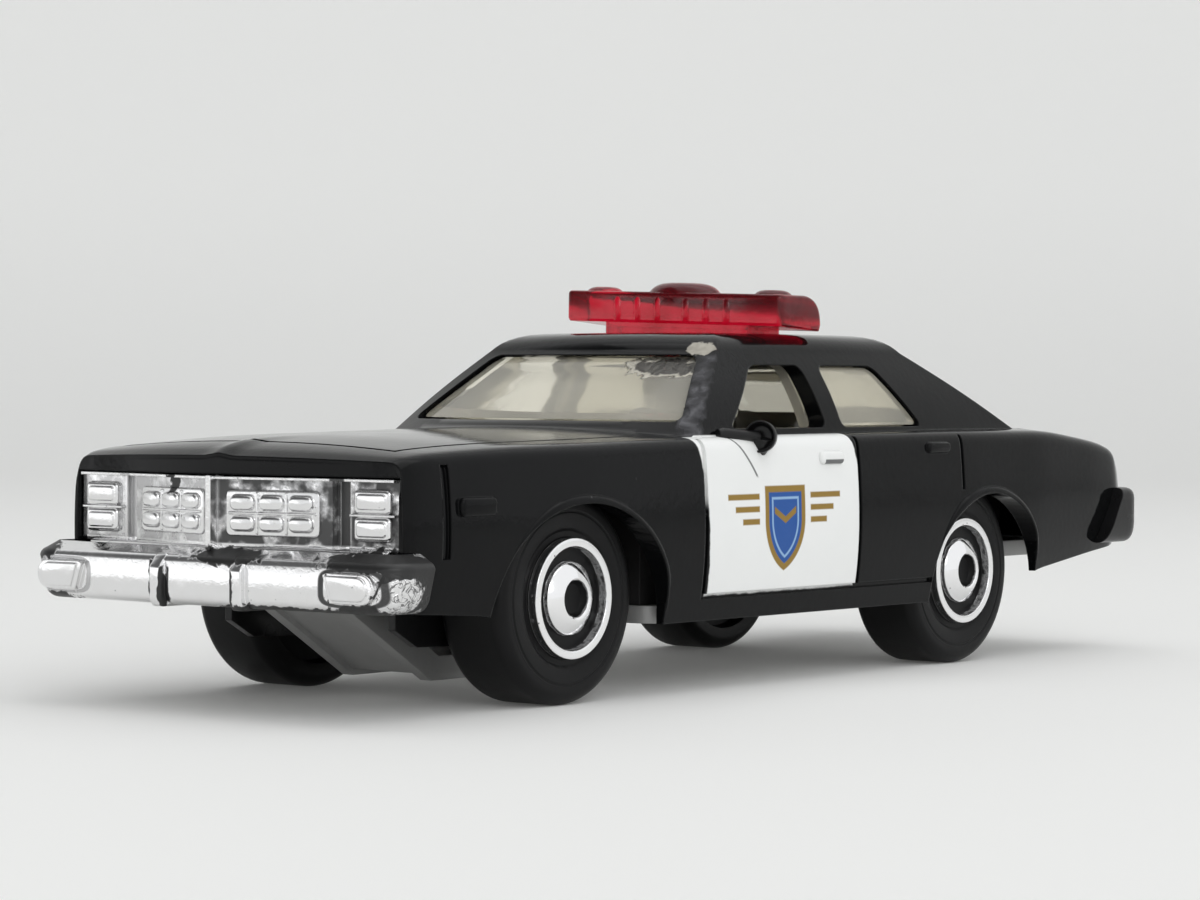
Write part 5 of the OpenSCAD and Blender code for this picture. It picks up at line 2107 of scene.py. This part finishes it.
@dataclass
class KeptNodes:
    """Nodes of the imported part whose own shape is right, with better finishes."""

    finishes: dict[str, Moulded]

    def dress(self) -> None:
        """Give each node its material."""
        for name, finish in self.finishes.items():
            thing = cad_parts[name]
            thing.data.materials.clear()
            thing.data.materials.append(finish.material())
            LOG.info("%s: packed solid in %s", name, finish.name)


@dataclass(frozen=True)
class SoftBox:
    """Soft rectangular lamp, placed in millimetres."""

    name: str
    place: Place
    target: Place
    size: Pair
    watts: float

    def hang(self) -> None:
        """Add the lamp to the scene."""
        data = bpy.data.lights.new(self.name, "AREA")
        data.shape = "RECTANGLE"
        data.size, data.size_y = (side * MM for side in self.size)
        data.energy = self.watts
        thing = bpy.data.objects.new(self.name, data)
        place = Vector(self.place)
        thing.location = place * MM
        thing.rotation_euler = (Vector(self.target) - place).to_track_quat("-Z", "Y").to_euler()
        bpy.context.scene.collection.objects.link(thing)


@dataclass
class Studio:
    """Pale floor and backdrop, soft lights and the camera."""

    eye: Place = (171.12, 131.93, 17.67)
    yaw: float = 218.3351
    pitch: float = 1.11738
    roll: float = 0.26724
    lens: float = 106.31
    sensor: float = 36.0
    floor_half: float = 900.0
    half_wide: float = 2400.0
    run: float = 420.0
    sweep_r: float = 260.0
    backdrop_h: float = 500.0
    paper: Colour = (0.85, 0.85, 0.835)
    paper_shade: Colour = (0.83, 0.832, 0.82)
    backdrop_glow: Colour = (0.10, 0.10, 0.097)
    sky: Colour = (0.98, 0.99, 1.0)
    dim_side: Place = (0.55, -0.40, 0.73)
    dim_from_to: Step = (0.66, 0.9, 0.95, 0.12)
    boxes: Sequence[SoftBox] = (
        SoftBox("overhead_box", (20, 10, 420), (0, 0, 10), (520, 420), 0.5),
        SoftBox("front_right_box", (380, -300, 42), (20, 0, 10), (360, 80), 0.05),
        SoftBox("left_front_fill", (300, 420, 260), (0, 0, 10), (240, 200), 0.35),
    )

    def floor_material(self) -> bpy.types.Material:
        """Pale matte paper, which keeps the car's shadow and glows a little for the camera.

        Returns:
            The material.
        """
        book = NodeBook("pale_paper")
        cloud = book.noise(0.004, 3.0)
        tone = book.blend(cloud, self.paper, self.paper_shade)
        seen = book.node("ShaderNodeLightPath", out="Is Camera Ray")
        for ray in ("Is Glossy Ray", "Is Transmission Ray"):
            seen = seen.most(book.node("ShaderNodeLightPath", out=ray))
        glow = seen * (book.z.rise(1.0, 70.0) * 0.5 + 0.5)
        return book.set(
            Base_Color=tone, Roughness=0.75, Emission_Strength=1.0,
            Emission_Color=book.blend(glow, (0.0, 0.0, 0.0), self.backdrop_glow),
        ).material

    def sweep(self, s: float) -> Pair:
        """Place on the paper's middle line.

        Args:
            s: Length along it.
        Returns:
            Its run and its height there.
        """
        quarter = self.sweep_r * math.pi / 2
        if s < self.run:
            return s, 0.0
        if s < self.run + quarter:
            angle = (s - self.run) / self.sweep_r
            return self.run + self.sweep_r * math.sin(angle), self.sweep_r * (1 - math.cos(angle))
        return self.run + self.sweep_r, self.sweep_r + s - self.run - quarter

    def stage(self) -> None:
        """Lay one sheet of paper that sweeps up behind the car as the camera sees it."""
        away = Vector((math.cos(math.radians(self.yaw)), math.sin(math.radians(self.yaw)), 0))
        across = Vector((-away.y, away.x, 0))
        length = self.floor_half + self.run + self.sweep_r * math.pi / 2 + self.backdrop_h
        mould = Mould()
        bmesh.ops.create_grid(mould.bm, x_segments=72, y_segments=24, size=1)

        def lay(p: Vector) -> Vector:
            """Bend a flat grid onto the sweep."""
            run, height = self.sweep(mix(-self.floor_half, length - self.floor_half, (p.x + 1) / 2))
            return away * run + across * p.y * self.half_wide + Vector((0, 0, height))

        sheet = mould.bend(lay).solid()
        sheet.name = "paper_sweep"
        sheet.data.transform(Matrix.Scale(MM, 4))
        sheet.data.polygons.foreach_set("use_smooth", [True] * len(sheet.data.polygons))
        sheet.data.materials.append(self.floor_material())

    def lights(self) -> None:
        """Hang the lamps and fill the room with a dim sky."""
        for box in self.boxes:
            box.hang()
        world = bpy.data.worlds.new("room")
        bpy.context.scene.world = world
        world.use_nodes = True
        nodes, links = world.node_tree.nodes, world.node_tree.links
        # The sky is dim on one side, so that the black decks mirror a dark room there.
        place = nodes.new("ShaderNodeTexCoord")
        facing = nodes.new("ShaderNodeVectorMath")
        facing.operation = "DOT_PRODUCT"
        facing.inputs[1].default_value = self.dim_side
        links.new(place.outputs["Generated"], facing.inputs[0])
        shade = nodes.new("ShaderNodeMapRange")
        shade.interpolation_type = "SMOOTHSTEP"
        for key, value in enumerate(self.dim_from_to, start=1):
            shade.inputs[key].default_value = value
        links.new(facing.outputs["Value"], shade.inputs[0])
        sky = nodes["Background"]
        sky.inputs["Color"].default_value = (*self.sky, 1.0)
        links.new(shade.outputs[0], sky.inputs["Strength"])

    def camera(self) -> None:
        """Stand the camera where the photograph was taken."""
        yaw, pitch, roll = (math.radians(a) for a in (self.yaw, self.pitch, self.roll))
        ahead = Vector((math.cos(yaw) * math.cos(pitch), math.sin(yaw) * math.cos(pitch), -math.sin(pitch)))
        right = Vector((math.sin(yaw), -math.cos(yaw), 0))
        up = right.cross(ahead)
        tilted = math.cos(roll) * right + math.sin(roll) * up
        upright = math.cos(roll) * up - math.sin(roll) * right
        data = bpy.data.cameras.new("photo_camera")
        data.lens = self.lens
        data.sensor_width = self.sensor
        data.clip_start = 0.005
        thing = bpy.data.objects.new("photo_camera", data)
        matrix = Matrix((tilted, upright, -ahead)).transposed().to_4x4()
        matrix.translation = Vector(self.eye) * MM
        thing.matrix_world = matrix
        bpy.context.scene.collection.objects.link(thing)
        bpy.context.scene.camera = thing

    def build(self) -> None:
        """Set the whole stage."""
        self.stage()
        self.lights()
        self.camera()
        bpy.context.scene.view_settings.view_transform = "Standard"


def main() -> None:
    """Build and dress every piece, then the studio."""
    logging.basicConfig(level=logging.INFO, format="%(name)s: %(message)s")
    form = BodyForm()
    windows = Windows(form)
    trim = FrontTrim(form)
    black = Moulded("black_moulding", (0.0045, 0.0045, 0.0048), (0.009, 0.009, 0.0095), 0.3).material()
    CastBody(form, windows, trim).dress(BlackPaint().material(), black)
    Glazing(form, windows).dress(TintedGlass().material())
    RoofLight(form).dress(RedPlastic().material())
    trim.dress(Plating(trim).material())
    RearBumper(form).dress(black)
    for end in ("front", "rear"):
        for word, side in (("left", 1), ("right", -1)):
            Wheel(f"wheel_{end}_{word}", side).dress()
    grey, dark_grey = (0.44, 0.44, 0.435), (0.34, 0.34, 0.335)
    steel, dark_steel = (0.55, 0.55, 0.56), (0.42, 0.42, 0.43)
    KeptNodes({
        "base_plate": Moulded("grey_cast_base", grey, dark_grey, 0.4, 0.3, specular=0.5),
        "interior": Moulded("black_seat_plastic", (0.02, 0.02, 0.021), (0.035, 0.034, 0.033), 0.5),
        "front_axle": Moulded("front_axle_steel", steel, dark_steel, 0.28, 1.0),
        "rear_axle": Moulded("rear_axle_steel", steel, dark_steel, 0.28, 1.0),
    }).dress()
    Studio().build()


if __name__ == "__main__":
    main()
